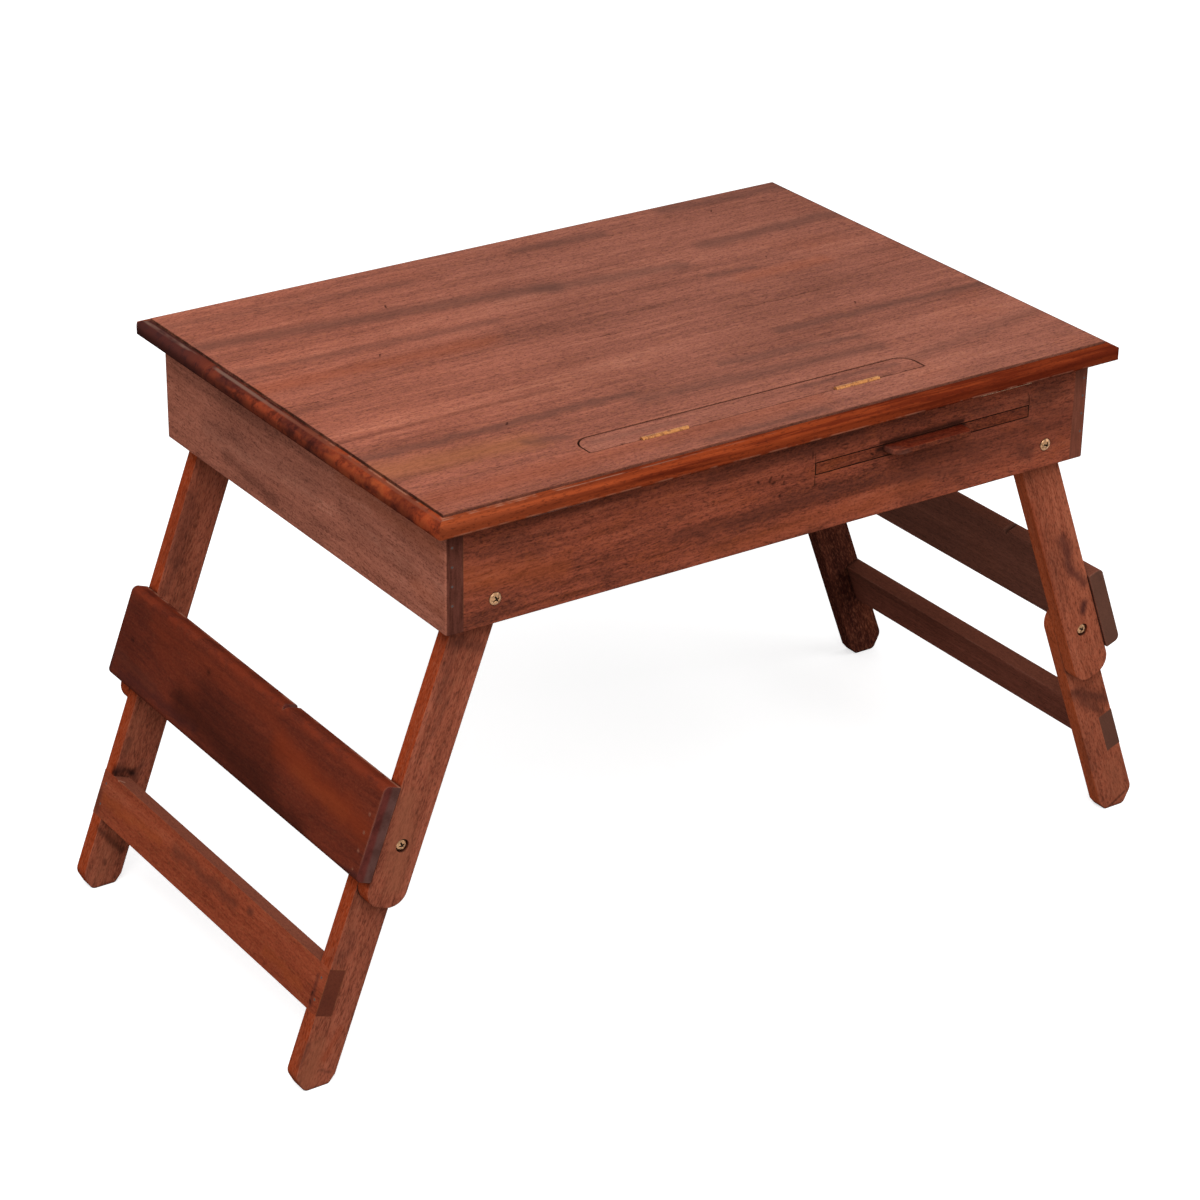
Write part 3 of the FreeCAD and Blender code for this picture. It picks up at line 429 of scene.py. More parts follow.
frontLook = {
    "name": "front board wood",
    "turn": (0.0, 0.0, 0.0), "shift": (0.4, 0.6, 0.3),
    "shades": [(0.120, 0.030, 0.017), (0.205, 0.050, 0.028),
               (0.290, 0.070, 0.038), (0.370, 0.100, 0.054)],
    "stain": 0.62, "glow": 0.30, "wear": 0.15, "roughness": 0.46, "endAmount": 0.5,
    "patch": (17.0, 17.0, 44.0), "pores": 0.50, "fleckAmount": 0.30, "flecks": (0.340, 0.085, 0.030),
    "smears": onFront([
        (22.3, 384, 22.5, 379, 1.3, "black", 0.55), (25, 363.7, 25.3, 357, 1.6, "black", 0.4),
        (208.8, 384, 210.3, 377, 1.1, "black", 0.5), (198, 371, 222, 355, 5.8, "dark", 0.35),
        # The black line from x 80 to 151 at z 376.2 is the dark gap above the pull, with painted shadow on
        # the board.
        (230, 353, 241, 353, 5, "dark", 0.3), (80, 376.2, 151, 376.2, 3.6, "black", 0.8),
        (110, 350, 262, 358, 34, "dark", 0.42),
        (-60, 330, 120, 336, 12, "orange", 0.2), (-250, 360, -180, 350, 16, "orange", 0.3),
        (-90, 348, 40, 350, 9, "dark", 0.5), (40, 352, 150, 340, 8, "dark", 0.35),
        (-60, 384, 60, 388, 9, "dark", 0.4), (-220, 392, -120, 388, 7, "dark", 0.4),
        (195, 388, 245, 392, 12, "dark", 0.3), (206, 342, 215, 337, 9, "dark", 0.5),
        (-23, 372, -22, 371, 1.6, "black", 0.8), (-12, 373, -13, 370, 1.8, "black", 0.7),
        (-10, 368, -9, 368.5, 2.2, "black", 0.7), (-2, 372, -3, 371, 1.6, "black", 0.7),
        (-1, 367, -1, 366, 1.5, "black", 0.7), (-4, 358, -4, 357, 1.8, "black", 0.8),
    ]),
}


# The tray front's middle, half width and lower edge, each with the width of its dark outline (metres).
trayFront = {"middle": 0.11775, "halfWidth": 0.0918, "foot": 0.36660, "sideLine": 0.0006, "footLine": 0.0005}


def trayOutline(shader, colour):
    # Stain has run into the gap round the tray's front.
    half, foot = trayFront["halfWidth"], trayFront["foot"]
    aside = (shader.axis(shader.here, "X") - trayFront["middle"]).math("ABSOLUTE")
    atSides = aside.fade(half, half + trayFront["sideLine"])
    atFoot = shader.axis(shader.here, "Z").fade(foot, foot - trayFront["footLine"])
    return shader.mix(colour, tones["black"], atSides.math("MAXIMUM", atFoot) * 0.9)


trayFrontLook = {
    **frontLook, "name": "tray front wood", "shift": (0.7, 0.3, 0.1), "extra": trayOutline,
    "shades": [(0.070, 0.017, 0.010), (0.120, 0.028, 0.015),
               (0.175, 0.040, 0.021), (0.240, 0.060, 0.032)],
    "smears": onFront([
        (72, 370.5, 73.5, 369.5, 1.6, "black", 0.8), (38, 369, 46, 369, 1.2, "black", 0.5),
        # The black band from x 78 to 152 above the pull: the dark gap there, with painted shadow.
        (78, 372, 152, 374, 4.5, "black", 0.85),
    ]),
}

pullLook = {
    **frontLook, "name": "pull wood", "shift": (0.1, 0.2, 0.6), "stain": 0.25, "glow": 0.25,
    "sides": [((0.0, 0.0, 1.0), (0.098, 0.009, 0.003), 0.92), ((0.0, -1.0, 0.0), (0.062, 0.015, 0.009), 0.8)],
    "roughness": 0.36,
    "smears": [((83, -192, 369), (92, -200, 370), 6.5, "grey", 0.5),
               ((100, -194, 375), (130, -196, 375), 3, "black", 0.4),
               # The black line along the pull's back edge: the dark gap above it, with painted shadow.
               ((80, -187.5, 374.6), (151, -187.5, 374.6), 2.6, "black", 0.75)],
}


# The two streaky tones of the end boards' front ends.
stripTones = {"left": [(0.048, 0.013, 0.009), (0.096, 0.028, 0.020)],
              "right": [(0.125, 0.038, 0.023), (0.175, 0.052, 0.032)]}


def endStrips(shader, colour):
    # The ends of the end boards: stained dark at the left corner, matched to the front board at the right.
    front = shader.towards((0.0, -1.0, 0.0))
    leftness = shader.axis(shader.here, "X").fade(0.0, -0.1)
    streak = shader.noise(shader.here, (500.0, 60.0, 60.0), 3.0, 0.6).fade(0.35, 0.65)
    left = shader.mix(*stripTones["left"], streak)
    right = shader.mix(*stripTones["right"], streak)
    return shader.mix(colour, shader.mix(right, left, leftness), front * 0.9)


sideLook = {
    "name": "end board wood",
    "turn": (0.0, 0.0, math.radians(-90)), "shift": (0.2, 0.1, 0.9),
    "shades": [(0.195, 0.064, 0.042), (0.310, 0.103, 0.067),
               (0.415, 0.140, 0.090), (0.520, 0.198, 0.130)],
    "stain": 0.32, "stainTone": (0.100, 0.034, 0.023), "glow": 0.06, "wear": 0.25, "roughness": 0.46,
    "endAmount": 0.0, "contrast": 1.4, "extra": endStrips,
    "patch": (10.0, 10.0, 22.0), "flecks": (0.400, 0.150, 0.085), "fleckAmount": 0.30,
    "smears": onLeftEnd([
        (100, 340, 30, 332, 9, "dark", 0.4), (-60, 360, -150, 352, 10, "dark", 0.25),
        (-60, 386, -175, 380, 16, "orange", 0.22), (-150, 345, -180, 340, 14, "orange", 0.16),
        (120, 352, -20, 362, 20, "grey", 0.22),
    ]),
}

legLook = {
    "name": "leg wood",
    "turn": (0.0, -math.pi / 2 - splay, 0.0), "shift": (0.0, 0.3, 0.0),
    "shades": [(0.128, 0.033, 0.018), (0.216, 0.055, 0.030),
               (0.298, 0.077, 0.042), (0.386, 0.110, 0.064)],
    "stain": 0.32, "glow": 0.12, "wear": 0.16, "roughness": 0.46, "endAmount": 0.45,
    "broad": (5.0, 60.0, 60.0), "patch": (14.0, 14.0, 12.0),
    "dashes": (180.0, 820.0, 820.0), "pores": 0.34, "fleckAmount": 0.34, "flecks": (0.380, 0.130, 0.070),
    "gritAmount": 0.42, "gritLight": 0.34, "grit": (250.0, 1000.0, 1000.0), "contrast": 1.35,
    "sides": [((-1.0, 0.0, 0.0), (0.330, 0.042, 0.008), 0.88)],
    "smears": [
        ((-250, -174, 312), (-230, -174, 300), 8.6, "dark", 0.42),
        ((-262, -174, 272), (-248, -174, 311), 6.5, "dark", 0.38),
        ((-268, -174, 248), (-256, -174, 270), 5, "dark", 0.3),
        ((-257, -174, 204), (-278, -174, 158), 3.6, "dark", 0.35),
        ((-297, -174, 146), (-286, -174, 206), 14, "tan", 0.6),
        # Painted shadow cast by the wide board's front end on the left upper leg.
        ((-298, -174, 211), (-318, -174, 152), 5.5, "black", 0.75),
        ((-350, -161, 32), (-360, -161, 6), 14, "tan", 0.55),
        ((-272, -174, 234), (-270, -174, 231), 3.6, "tan", 0.5),
        ((-253, -174, 276), (-239, -174, 301), 2.9, "tan", 0.3),
        ((-304, -174, 159), (-296, -174, 187), 4.3, "tan", 0.3),
        ((-322, -161, 109), (-333, -161, 92), 8.6, "dark", 0.35),
        ((-357, -161, 36), (-365, -161, 21), 4.3, "dark", 0.5),
        ((-333, -161, 39), (-345, -161, 21), 5, "red", 0.4),
        ((-349, -161, 13), (-341, -161, 9), 2.2, "dark", 0.5),
        ((-316, -161, 134), (-322, -161, 113), 5.8, "tan", 0.2),
        ((-340, -161, 77), (-349, -161, 53), 7.2, "tan", 0.25),
        # Painted shade in the dark hole above the stretcher's top where it meets the left back leg.
        ((-339, 148.6, 93), (-324, 148.6, 87), 6.5, "black", 0.95),
        ((-328, 149, 77), (-316, 149, 90), 6.5, "dark", 0.55),
        ((-345, 149, 30), (-354, 149, 8), 12, "tan", 0.35),
        ((-318, 149, 128), (-326, 149, 106), 9, "tan", 0.3),
        ((-330, 149, 72), (-340, 149, 45), 8, "tan", 0.3),
        ((-350, 149, 21), (-350, 149, 18), 2.9, "black", 0.5),
        ((-356, 149, 52), (-336, 149, 25), 4.3, "black", 0.55),
        ((-325, 149, 113), (-335, 149, 92), 5, "dark", 0.4),
        ((-262, 162, 283), (-276, 162, 239), 12, "dark", 0.45),
        ((-285, 162, 217), (-272, 162, 238), 5.8, "dark", 0.4),
    ],
}

rightLegLook = {
    **legLook, "name": "right leg wood", "turn": (0.0, splay - math.pi / 2, 0.0), "shift": (0.7, 0.1, 0.4),
    "shades": [(0.150, 0.038, 0.020), (0.252, 0.063, 0.032),
               (0.345, 0.088, 0.045), (0.440, 0.126, 0.066)],
    "sides": [((-1.0, 0.0, 0.0), (0.480, 0.090, 0.028), 0.85)],
    "smears": [
        ((262, -174, 253), (269, -174, 239), 8, "plum", 0.65),
        ((270, -174, 232), (287, -174, 212), 8, "plum", 0.7),
        ((290, -174, 195), (290, -174, 189), 6, "plum", 0.85),
        ((232, -174, 288), (273, -174, 169), 5.8, "red", 0.35),
        ((289, -174, 149), (309, -174, 160), 5.8, "tan", 0.2),
        ((300, -161, 112), (333, -161, 99), 10, "dark", 0.7),
        ((311, -161, 101), (330, -161, 87), 6.5, "dark", 0.6),
        ((318, -161, 78), (356, -161, 5), 26, "dark", 0.15),
        ((302, -161, 93), (325, -161, 39), 2.9, "dark", 0.4),
        ((346, -161, 36), (356, -161, 10), 13, "tan", 0.35),
        ((361, -161, 10), (347, -161, 2), 2.2, "black", 0.6),
        ((282, -161, 162), (290, -161, 133), 3.6, "dark", 0.5),
    ],
}

# Painted shade: the right back legs lie in the box's shadow, so they take a darker copy of the right leg
# wood, darkest on their faces that look towards −X.
shadedRightBackLegLook = {
    **rightLegLook, "name": "right back leg wood", "shift": (0.2, 0.6, 0.1),
    "shades": [(0.032, 0.009, 0.006), (0.058, 0.014, 0.010),
               (0.090, 0.023, 0.014), (0.160, 0.042, 0.024)],
    "sides": [((-1.0, 0.0, 0.0), (0.058, 0.013, 0.009), 0.85)], "smears": (), "fleckAmount": 0.15,
}


# Along the leg's own directions (metres): the board's inner top corner, the pale line's width, how far
# the painted warm highlight reaches down, and where the end turns from grey to plum. Then the tones of each.
boardEdge = {"outward": 0.3503, "upward": 0.1010, "width": 0.0022, "highlightReach": 0.009,
             "greyEnds": 0.0035, "plumStarts": 0.0065,
             "glow": (0.250, 0.038, 0.014), "rubbed": (0.420, 0.190, 0.120),
             "plum": [(0.072, 0.017, 0.014), (0.130, 0.030, 0.024)],
             "grey": [(0.078, 0.034, 0.028), (0.118, 0.054, 0.046)]}


def boardEdges(shader, colour):
    # The board's top is warmer, a painted highlight with some wear, with a pale line where it meets the legs
    # that is partly rubbed wear and partly painted highlight.
    here = shader.here
    away = (-math.cos(splay), 0.0, math.sin(splay))
    outward = shader.vector("DOT_PRODUCT", here, away, out="Value")
    upward = shader.vector("DOT_PRODUCT", here, (math.sin(splay), 0.0, math.cos(splay)), out="Value")
    patchy = shader.noise(here, (60.0, 40.0, 60.0), 3.0, 0.6).fade(0.40, 0.58)
    line = (outward - boardEdge["outward"]).math("ABSOLUTE").fade(boardEdge["width"], 0.0002)
    top = upward.fade(boardEdge["upward"] - 0.0015, boardEdge["upward"] - 0.0005)
    # Painted highlight along the rounded top, with some wear, and the pale line on the top corner.
    glow = upward.fade(boardEdge["upward"] - boardEdge["highlightReach"], boardEdge["upward"] - 0.002)
    colour = shader.mix(colour, boardEdge["glow"], glow * patchy * 0.45)
    colour = shader.mix(colour, boardEdge["rubbed"], line * top * patchy * 0.6)
    # The end is plum on its outer half and greyer next to the leg.
    wavy = shader.shaken(here, 60.0, 0.004, 3.0)
    across = shader.vector("DOT_PRODUCT", wavy, away, out="Value")
    greyness = (across - boardEdge["outward"]).fade(boardEdge["plumStarts"], boardEdge["greyEnds"])
    streak = shader.noise(here, (90.0, 400.0, 90.0), 4.0, 0.65).fade(0.35, 0.65)
    plum = shader.mix(*boardEdge["plum"], streak)
    grey = shader.mix(*boardEdge["grey"], streak)
    onEnd = shader.towards((0.0, -1.0, 0.0))
    return shader.mix(colour, shader.mix(plum, grey, greyness), onEnd * 0.95)


boardLook = {
    "name": "wide board wood",
    "turn": (0.0, 0.0, math.radians(-90)), "shift": (0.5, 0.8, 0.2),
    "shades": [(0.060, 0.014, 0.010), (0.100, 0.020, 0.012),
               (0.145, 0.027, 0.014), (0.210, 0.040, 0.019)],
    "stain": 0.40, "glow": 0.0, "wear": 0.60, "worn": (0.250, 0.105, 0.072), "roughness": 0.34,
    "endAmount": 0.0, "contrast": 0.9, "wearWidth": 0.002, "extra": boardEdges,
    "stainTone": (0.045, 0.010, 0.007), "pores": 0.12, "fleckAmount": 0.05, "patch": (8.0, 8.0, 8.0),
    "gritAmount": 0.16, "gritLight": 0.06,
    "smears": [
        ((-310.3, 185, 202.6), (-325.3, 175, 162.6), 6.8, "plum", 0.7),
        ((-315.3, 156, 188.6), (-315.3, 154, 188.6), 2.9, "black", 0.5),
        ((-324.3, 160, 163.6), (-323.3, 49, 166.6), 8.6, "plum", 0.5),
        ((-320.3, 77, 176.6), (-327.3, -96, 157.6), 20, "black", 0.60),
        ((-308.3, 134, 207.6), (-307.3, -38, 208.6), 12, "red", 0.20),
        ((-312.3, 120, 197.6), (-316.3, 60, 187.6), 14, "red", 0.15),
        ((-312.3, -51, 197.6), (-315.3, -167, 189.6), 18, "red", 0.50),
        ((-314.3, -76, 190.6), (-315.3, -142, 188.6), 9, "orange", 0.12),
        ((-309.3, 53, 205.6), (-309.3, 52, 205.6), 3.6, "black", 0.5),
        ((-315, 50, 190), (-318, -45, 182), 24, "black", 0.40),
        ((-328.3, -137, 154.6), (-325.3, -174, 161.6), 4.3, "plum", 0.7),
        ((-321.3, 174, 174.6), (-322.3, 110, 170.6), 7.2, "dark", 0.4),
    ],
}

stretcherLook = {
    "name": "stretcher wood",
    "turn": (0.0, 0.0, math.radians(-90)), "shift": (0.1, 0.5, 0.6),
    "shades": [(0.134, 0.026, 0.013), (0.212, 0.040, 0.018),
               (0.290, 0.058, 0.026), (0.368, 0.088, 0.042)],
    "stain": 0.35, "glow": 0.20, "wear": 0.30, "roughness": 0.44, "endAmount": 0.75, "contrast": 1.1,
    "pores": 0.22, "gritAmount": 0.25, "gritLight": 0.12,
    # Painted light: the stretcher's top face, looking up, is tinted paler.
    "end": (0.080, 0.024, 0.016), "sides": [((0.0, 0.0, 1.0), (0.200, 0.075, 0.050), 0.6)],
    "smears": [
        ((-346, 150, 69), (-344, 69, 75), 7.2, "orange", 0.35),
        ((-345, 160, 73), (-350, 157, 59), 5.8, "dark", 0.5),
        ((-343, 48, 77), (-343, -39, 77), 8.6, "dark", 0.5),
        ((-342, -57, 81), (-342, -60, 81), 5, "dark", 0.6),
        ((-347, -87, 67), (-348, -135, 65), 6.5, "orange", 0.3),
        ((-342, -151, 79), (-350, -152, 60), 3.6, "plum", 0.55),
        ((-346.7, -151, 68), (-347.3, -150.6, 66.4), 1.4, "black", 0.8),
        ((-348.8, -150.5, 62.3), (-349.2, -151.2, 61.2), 1.4, "black", 0.8),
        ((-344.3, 144, 90.1), (-336.2, 138, 87), 1.4, "pale", 0.55),
        ((-350, 136, 92), (-345, 123, 90), 2.2, "black", 0.5),
    ],
}

# Painted shade: the right wide board is seen on faces in shade, so it takes a greyer copy of the wide board
# wood.
shadedRightBoardLook = {
    **{key: value for key, value in boardLook.items() if key != "extra"},
    "name": "right wide board wood", "shift": (0.15, 0.3, 0.7), "glow": 0.05,
    "shades": [(0.098, 0.041, 0.029), (0.156, 0.056, 0.038),
               (0.216, 0.076, 0.050), (0.312, 0.115, 0.074)],
    "stain": 0.25, "relief": 0.3, "pores": 0.35, "end": (0.105, 0.048, 0.033), "endAmount": 0.8,
    # Painted light: the upward-looking top face is tinted paler.
    "sides": [((0.0, 0.0, 1.0), (0.170, 0.055, 0.033), 0.6)],
    "smears": [((299, -178, 218), (303, -178, 212), 3.5, "black", 0.8)],
}

# Painted shade: the right stretcher takes the same greyer copy in its own shades, with the painted lit top.
shadedRightStretcherLook = {
    **shadedRightBoardLook, "name": "right stretcher wood", "shift": (0.6, 0.1, 0.2),
    "shades": [(0.088, 0.029, 0.020), (0.151, 0.046, 0.029),
               (0.215, 0.063, 0.040), (0.313, 0.097, 0.062)],
    "smears": (),
}

innerLook = {
    "name": "inner wood",
    "turn": (0.0, 0.0, math.radians(-90)), "shift": (0.9, 0.2, 0.1),
    "shades": [(0.180, 0.075, 0.040), (0.260, 0.110, 0.060),
               (0.330, 0.150, 0.082), (0.400, 0.190, 0.110)],
    "stain": 0.2, "glow": 0.1, "wear": 0.2, "roughness": 0.55, "endAmount": 0.35,
}


def darkenedLeftHinge(shader, colour):
    # The left lid hinge is darkened to the plum of the wood.
    left = shader.axis(shader.here, "X").fade(-0.10, -0.12)
    return shader.mix(colour, tones["plum"], left * 0.95)


def shadedCrossRecess(shader, colour):
    # Painted shade in the cross of each screw head, darkest where the cross is deepest.
    sunk = shader.node("ShaderNodeAttribute", {"attribute_name": "sunk"}, (), out="Fac")
    return shader.mix(colour, tones["pitch"], sunk.fade(0.15, 0.75))


hingeLook = {"name": "hinge brass", "colour": (0.48, 0.19, 0.050), "tarnish": (0.17, 0.045, 0.016),
             "bright": (0.75, 0.50, 0.26), "spotting": 0.8, "roughness": 0.5, "metallic": 0.55}
lidHingeLook = {**hingeLook, "name": "lid hinge brass", "colour": (0.50, 0.33, 0.20),
                "extra": darkenedLeftHinge, "metallic": 0.6}
screwLook = {"name": "screw plating", "colour": (0.36, 0.195, 0.098), "tarnish": (0.090, 0.047, 0.023),
             "bright": (0.80, 0.62, 0.44), "spotting": 0.80, "roughness": 0.30, "metallic": 0.9,
             "extra": shadedCrossRecess}
nailLook = {"name": "nail heads", "colour": (0.045, 0.022, 0.018), "tarnish": (0.018, 0.009, 0.008),
            "bright": (0.14, 0.08, 0.06), "spotting": 0.6, "roughness": 0.60, "metallic": 0.2}


def hiddenBackNails(shader, colour):
    # Only the nails at the front of the wide boards show; the others were stained over.
    back = shader.axis(shader.here, "Y").fade(-0.05, 0.05)
    return shader.mix(colour, tones["stain"], back * 0.95)


boardNailLook = {**nailLook, "name": "filled nail heads", "colour": (0.230, 0.080, 0.045),
                 "tarnish": (0.100, 0.030, 0.016), "bright": (0.280, 0.140, 0.090), "metallic": 0.0,
                 "specular": 0.0, "extra": hiddenBackNails}

print("making the finishes")
finishes = {
    "lid": woodFinish(lidLook),
    "flap": woodFinish(flapLook),
    "front": woodFinish(frontLook),
    "trayFront": woodFinish(trayFrontLook),
    "pull": woodFinish(pullLook),
    "side": woodFinish(sideLook),
    "leftLeg": woodFinish(legLook),
    "rightLeg": woodFinish(rightLegLook),
    "shadedRightBackLeg": woodFinish(shadedRightBackLegLook),
    "board": woodFinish(boardLook),
    "shadedRightBoard": woodFinish(shadedRightBoardLook),
    "stretcher": woodFinish(stretcherLook),
    "shadedRightStretcher": woodFinish(shadedRightStretcherLook),
    "inner": woodFinish(innerLook),
    "hinge": metalFinish(hingeLook),
    "lidHinge": metalFinish(lidHingeLook),
    "screw": metalFinish(screwLook),
    "nail": metalFinish(nailLook),
    "boardNail": metalFinish(boardNailLook),
}

# Which finish each piece takes, by the first word or words of its name that match.
finishOfPiece = [
    ("lid_board", "lid"), ("book_stop_flap_leaves", "hinge"), ("book_stop_flap_screws", "screw"),
    ("book_stop_flap", "flap"), ("front_apron", "front"), ("tray_front_rim", "trayFront"),
    ("tray_floor", "trayFront"), ("tray_pull", "pull"), ("back_apron", "front"),
    ("left_end_apron", "side"), ("right_end_apron", "side"),
    ("left_upper_leg", "leftLeg"), ("left_lower_leg", "leftLeg"),
    ("right_upper_leg_back", "shadedRightBackLeg"), ("right_lower_leg_back", "shadedRightBackLeg"),
    ("right_upper_leg", "rightLeg"), ("right_lower_leg", "rightLeg"),
    ("left_wide_board", "board"), ("right_wide_board", "shadedRightBoard"),
    ("left_stretcher_nails", "nail"), ("right_stretcher_nails", "nail"),
    ("left_stretcher", "stretcher"), ("right_stretcher", "shadedRightStretcher"),
    ("left_board_nails", "boardNail"), ("right_board_nails", "boardNail"), ("corner_nails", "nail"),
    ("lid_hinge_box_leaves", "lidHinge"), ("lid_hinge_lid_leaves", "lidHinge"),
    ("lid_hinge_pins", "lidHinge"),
    ("book_stop_lid_leaves", "hinge"), ("book_stop_hinge_pins", "hinge"),
    ("lid_hinge_box_screws", "screw"), ("lid_hinge_lid_screws", "screw"),
    ("book_stop_lid_screws", "screw"), ("prop_pins", "screw"),
    ("left_pivot_screws", "screw"), ("left_knee_screws", "screw"),
    ("right_pivot_screws", "screw"), ("right_knee_screws", "screw"),
    ("tray_", "inner"), ("prop_", "inner"),
]

for nodeName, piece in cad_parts.items():
    finishName = next(finish for start, finish in finishOfPiece if nodeName.startswith(start))
    piece.data.materials.clear()
    piece.data.materials.append(finishes[finishName])


# Round-head screws at the pivots and knees, set out by Geometry Nodes.

screwHead = {
    "headRadius": 0.0045, "headHeight": 0.0023, "shankRadius": 0.00195, "rimHeight": 0.0004,
    "crossReach": 0.0026, "crossHalfWidth": 0.00055, "crossDepth": 0.0015, "pointLength": 0.003,
    "wallSlope": 0.00018, "armSlope": 0.0011, "pointShare": 0.12,
    "rings": 22, "sectors": 96, "turnSpread": 1.4,
}


def headFall(radius):
    # How far the dome has fallen at this distance from its middle.
    look = screwHead
    drop = look["headHeight"] - look["rimHeight"]
    ball = (look["headRadius"] ** 2 + drop ** 2) / (2 * drop)
    return ball - math.sqrt(ball ** 2 - radius ** 2)


def crossSink(x, y):
    # A cross with sloping walls: deepest in the middle, gone at the ends of its arms.
    look = screwHead
    sink = 0.0
    for along, across in ((abs(x), abs(y)), (abs(y), abs(x))):
        wall = min(1.0, max(0.0, (look["crossHalfWidth"] - across) / look["wallSlope"] + 0.5))
        reach = min(1.0, max(0.0, (look["crossReach"] - along) / look["armSlope"]))
        sink = max(sink, wall * reach)
    return sink * look["crossDepth"]


def screwShape(name, gripLength):
    # One screw on the Z axis: the head stands above zero and the shank runs below it.
    look = screwHead
    build = bmesh.new()
    outline = []
    for ring in range(1, look["rings"] + 1):
        radius = look["headRadius"] * ring / look["rings"]
        outline.append((radius, look["headHeight"] - headFall(radius), True))
    outline += [(look["headRadius"], 0.0, False), (look["shankRadius"], 0.0, False),
                (look["shankRadius"], look["pointLength"] - gripLength, False),
                (look["shankRadius"] * look["pointShare"], -gripLength, False)]
    loops = []
    for radius, height, domed in outline:
        loop = []
        for sector in range(look["sectors"]):
            angle = 2 * math.pi * sector / look["sectors"]
            x, y = radius * math.cos(angle), radius * math.sin(angle)
            loop.append(build.verts.new((x, y, height - (crossSink(x, y) if domed else 0.0))))
        loops.append(loop)
    crown = build.verts.new((0, 0, look["headHeight"] - look["crossDepth"]))
    point = build.verts.new((0, 0, -gripLength))
    for index in range(look["sectors"]):
        following = (index + 1) % look["sectors"]
        build.faces.new((crown, loops[0][index], loops[0][following]))
        build.faces.new((point, loops[-1][following], loops[-1][index]))
        for inner, outer in zip(loops, loops[1:]):
            build.faces.new((inner[index], outer[index], outer[following], inner[following]))
    bmesh.ops.recalc_face_normals(build, faces=build.faces)
    for face in build.faces:
        face.smooth = True
    mesh = bpy.data.meshes.new(name)
    build.to_mesh(mesh)
    build.free()
    sunk = mesh.attributes.new("sunk", "FLOAT", "POINT")
    for index, vertex in enumerate(mesh.vertices):
        depth = crossSink(vertex.co.x, vertex.co.y) if vertex.co.z > 0 else 0.0
        sunk.data[index].value = depth / look["crossDepth"]
    return bpy.data.objects.new(name, mesh)


def screwTree(screwObject):
    # Points in, screws out: each point carries the way that its screw faces.
    tree = bpy.data.node_groups.new("set out screws", "GeometryNodeTree")
    tree.interface.new_socket("Points", in_out="INPUT", socket_type="NodeSocketGeometry")
    tree.interface.new_socket("Turn spread", in_out="INPUT", socket_type="NodeSocketFloat")
    tree.interface.new_socket("Seed", in_out="INPUT", socket_type="NodeSocketInt")
    tree.interface.new_socket("Finish", in_out="INPUT", socket_type="NodeSocketMaterial")
    tree.interface.new_socket("Screws", in_out="OUTPUT", socket_type="NodeSocketGeometry")
    nodes = NodeTree(tree)
    entry = tree.nodes.new("NodeGroupInput")
    points, spread, seed, finish = (Wire(nodes, entry.outputs[index]) for index in range(4))
    facing = nodes.node("GeometryNodeInputNamedAttribute", {"data_type": "FLOAT_VECTOR"}, {"Name": "facing"})
    upright = nodes.node("FunctionNodeAlignRotationToVector", {"axis": "Z"}, {"Vector": facing})
    turn = nodes.node("FunctionNodeRandomValue", {"data_type": "FLOAT"},
                      {"Min": 0.0, "Max": spread, "Seed": seed}, out="Value")
    spin = nodes.node("FunctionNodeAxisAngleToRotation", {}, {"Axis": (0.0, 0.0, 1.0), "Angle": turn})
    turned = nodes.node("FunctionNodeRotateRotation", {"rotation_space": "LOCAL"},
                        {"Rotation": upright, "Rotate By": spin})
    model = nodes.node("GeometryNodeObjectInfo", {}, {"Object": screwObject}, out="Geometry")
    placed = nodes.node("GeometryNodeInstanceOnPoints", {}, {"Points": points, "Instance": model,
                                                             "Rotation": turned})
    real = nodes.node("GeometryNodeRealizeInstances", {}, {"Geometry": placed})
    done = nodes.node("GeometryNodeSetMaterial", {}, {"Geometry": real, "Material": finish})
    nodes.node("NodeGroupOutput", {}, {0: done})
    return tree


def solidBoxes(node):
    # The lowest and highest corner of each separate solid in a node, front to back.
    build = bmesh.new()
    build.from_mesh(node.data)
    bmesh.ops.remove_doubles(build, verts=build.verts, dist=1e-6)
    left, boxes = set(build.verts), []
    while left:
        group, edge = set(), [left.pop()]
        while edge:
            here = edge.pop()
            group.add(here)
            near = {link.other_vert(here) for link in here.link_edges} & left
            left -= near
            edge += near
        low = Vector([min(vert.co[axis] for vert in group) for axis in range(3)])
        high = Vector([max(vert.co[axis] for vert in group) for axis in range(3)])
        boxes.append((low, high))
    build.free()
    return sorted(boxes, key=lambda corners: corners[0].y)


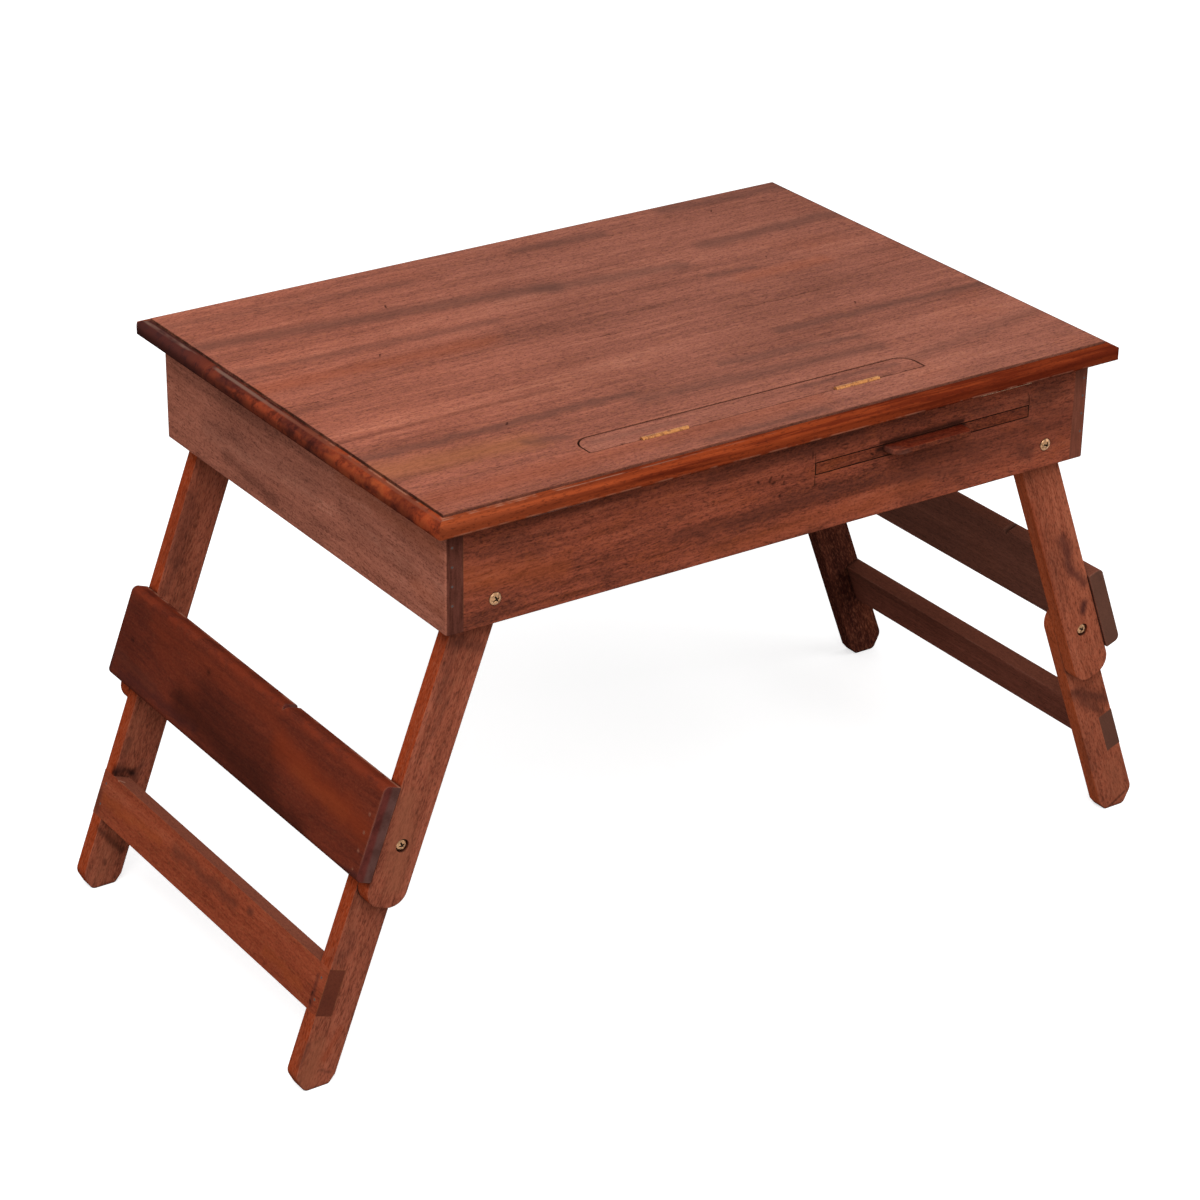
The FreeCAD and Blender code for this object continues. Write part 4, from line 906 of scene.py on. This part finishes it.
def setOutScrews(nodeName, body, seed):
    # The screws of one pivot or knee node stand in the same seats, with the same length.
    boxes = solidBoxes(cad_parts[nodeName])
    length = boxes[0][1].y - boxes[0][0].y
    model = screwShape(nodeName + "_model", length - screwHead["headHeight"])
    mesh = bpy.data.meshes.new(nodeName + "_seats")
    seats, ways = [], []
    for low, high in boxes:
        side = -1 if low.y < 0 else 1
        outer = low.y if side < 0 else high.y
        seats.append(((low.x + high.x) / 2, outer - side * screwHead["headHeight"], (low.z + high.z) / 2))
        ways.append((0.0, float(side), 0.0))
    mesh.from_pydata(seats, [], [])
    facing = mesh.attributes.new("facing", "FLOAT_VECTOR", "POINT")
    for index, way in enumerate(ways):
        facing.data[index].vector = way
    holder = bpy.data.objects.new(nodeName + "_seats", mesh)
    bpy.context.collection.objects.link(holder)
    tree = screwTree(model)
    modifier = holder.modifiers.new("screws", "NODES")
    modifier.node_group = tree
    values = {"Turn spread": screwHead["turnSpread"], "Seed": seed, "Finish": finishes["screw"]}
    for socket in tree.interface.items_tree:
        if socket.in_out == "INPUT" and socket.name in values:
            modifier[socket.identifier] = values[socket.name]
    bpy.context.view_layer.update()
    evaluated = holder.evaluated_get(bpy.context.evaluated_depsgraph_get())
    made = bpy.data.meshes.new_from_object(evaluated)
    holder.modifiers.remove(modifier)
    bpy.data.objects.remove(holder)
    bpy.data.objects.remove(model)
    piece = bpy.data.objects.new(nodeName.replace("_screws", "_round_heads"), made)
    bpy.context.collection.objects.link(piece)
    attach(piece, body)
    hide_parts(nodeName)


print("setting out the screws")
for seed, side in enumerate(("left", "right")):
    setOutScrews(side + "_pivot_screws", side + "_upper_frame", seed * 2 + 1)
    setOutScrews(side + "_knee_screws", side + "_lower_frame", seed * 2 + 2)


# Room: a pale floor, a soft key light, a weaker fill light and an even sky.

room = {
    "floorSize": 30.0, "floorSeen": 0.80, "floorBounce": 0.35, "mottle": 0.97, "lift": 0.62, "sky": 0.50,
    "aim": (0, 0, 0.25), "keyPlace": (-1.6, -2.2, 3.2), "keySize": 2.6, "keyPower": 120.0,
    "fillPlace": (2.6, -1.6, 1.8), "fillSize": 2.0, "fillPower": 22.0,
}


def seenRays(nodes):
    # 1 for rays from the camera, straight or by way of something glossy or clear.
    rays = [nodes.node("ShaderNodeLightPath", out=name)
            for name in ("Is Camera Ray", "Is Glossy Ray", "Is Transmission Ray")]
    return rays[0].math("MAXIMUM", rays[1]).math("MAXIMUM", rays[2])


def makeFloor():
    mesh = bpy.data.meshes.new("floor")
    build = bmesh.new()
    bmesh.ops.create_grid(build, x_segments=1, y_segments=1, size=room["floorSize"])
    build.to_mesh(mesh)
    build.free()
    floor = bpy.data.objects.new("floor", mesh)
    bpy.context.collection.objects.link(floor)
    shader = Shader("floor paint")
    shown = seenRays(shader)
    mottled = shader.noise(shader.here, (3.0, 3.0, 3.0), 2.0)
    bounce = shader.mix((room["floorBounce"],) * 3, (room["floorBounce"] * room["mottle"],) * 3, mottled)
    colour = shader.mix(bounce, (room["floorSeen"],) * 3, shown)
    lift = shader.mix((0.0, 0.0, 0.0), (room["lift"],) * 3, shown)
    material = shader.finish({"Base Color": colour, "Roughness": 0.9, "Specular IOR Level": 0.0,
                              "Emission Color": lift, "Emission Strength": 1.0})
    mesh.materials.append(material)


def makeSky():
    world = bpy.data.worlds.new("studio")
    world.use_nodes = True
    sky = NodeTree(world.node_tree)
    sky.tree.nodes.clear()
    shown = seenRays(sky)
    lighting = sky.node("ShaderNodeBackground", {}, {"Color": (1, 1, 1, 1), "Strength": room["sky"]})
    backdrop = sky.node("ShaderNodeBackground", {}, {"Color": (1, 1, 1, 1), "Strength": 1.0})
    both = sky.node("ShaderNodeMixShader", {}, [shown, lighting, backdrop])
    sky.node("ShaderNodeOutputWorld", {}, {"Surface": both})
    bpy.context.scene.world = world


def softLight(name):
    place = Vector(room[name + "Place"])
    data = bpy.data.lights.new(name, "AREA")
    data.shape = "SQUARE"
    data.size = room[name + "Size"]
    data.energy = room[name + "Power"]
    lamp = bpy.data.objects.new(name, data)
    lamp.location = place
    lamp.rotation_euler = (Vector(room["aim"]) - place).to_track_quat("-Z", "Y").to_euler()
    bpy.context.collection.objects.link(lamp)


# Camera: its angles (degrees), distance and lid height (metres), focal length and the place of the lid's
# middle in the picture (pixels), and the sensor (millimetres).

camera = {"azimuth": 34.503, "elevation": 26.195, "roll": -0.933, "distance": 2.44496,
          "focal": 3505.7, "aimU": 626.45, "aimV": 329.5, "lidTop": 0.41186, "picture": 1200, "sensor": 36.0}


def placeCamera():
    azimuth, elevation, roll = (math.radians(camera[key]) for key in ("azimuth", "elevation", "roll"))
    level = Vector((math.cos(azimuth), -math.sin(azimuth), 0))
    ahead = Vector((math.sin(azimuth) * math.cos(elevation), math.cos(azimuth) * math.cos(elevation),
                    -math.sin(elevation)))
    below = ahead.cross(level)
    right = level * math.cos(roll) + below * math.sin(roll)
    down = below * math.cos(roll) - level * math.sin(roll)
    centre = camera["picture"] / 2
    across = (camera["aimU"] - centre) / camera["focal"]
    sunk = (camera["aimV"] - centre) / camera["focal"]
    place = Vector((0, 0, camera["lidTop"])) - camera["distance"] * (right * across + down * sunk + ahead)
    data = bpy.data.cameras.new("camera")
    data.sensor_width = camera["sensor"]
    data.lens = camera["focal"] / camera["picture"] * camera["sensor"]
    data.clip_end = 100.0
    view = bpy.data.objects.new("camera", data)
    turn = Matrix((right, -down, -ahead)).transposed().to_4x4()
    view.matrix_world = Matrix.Translation(place) @ turn
    bpy.context.collection.objects.link(view)
    bpy.context.scene.camera = view


print("setting the room, lights and camera")
makeFloor()
makeSky()
softLight("key")
softLight("fill")
placeCamera()
bpy.context.scene.view_settings.view_transform = "Standard"

print("finished")
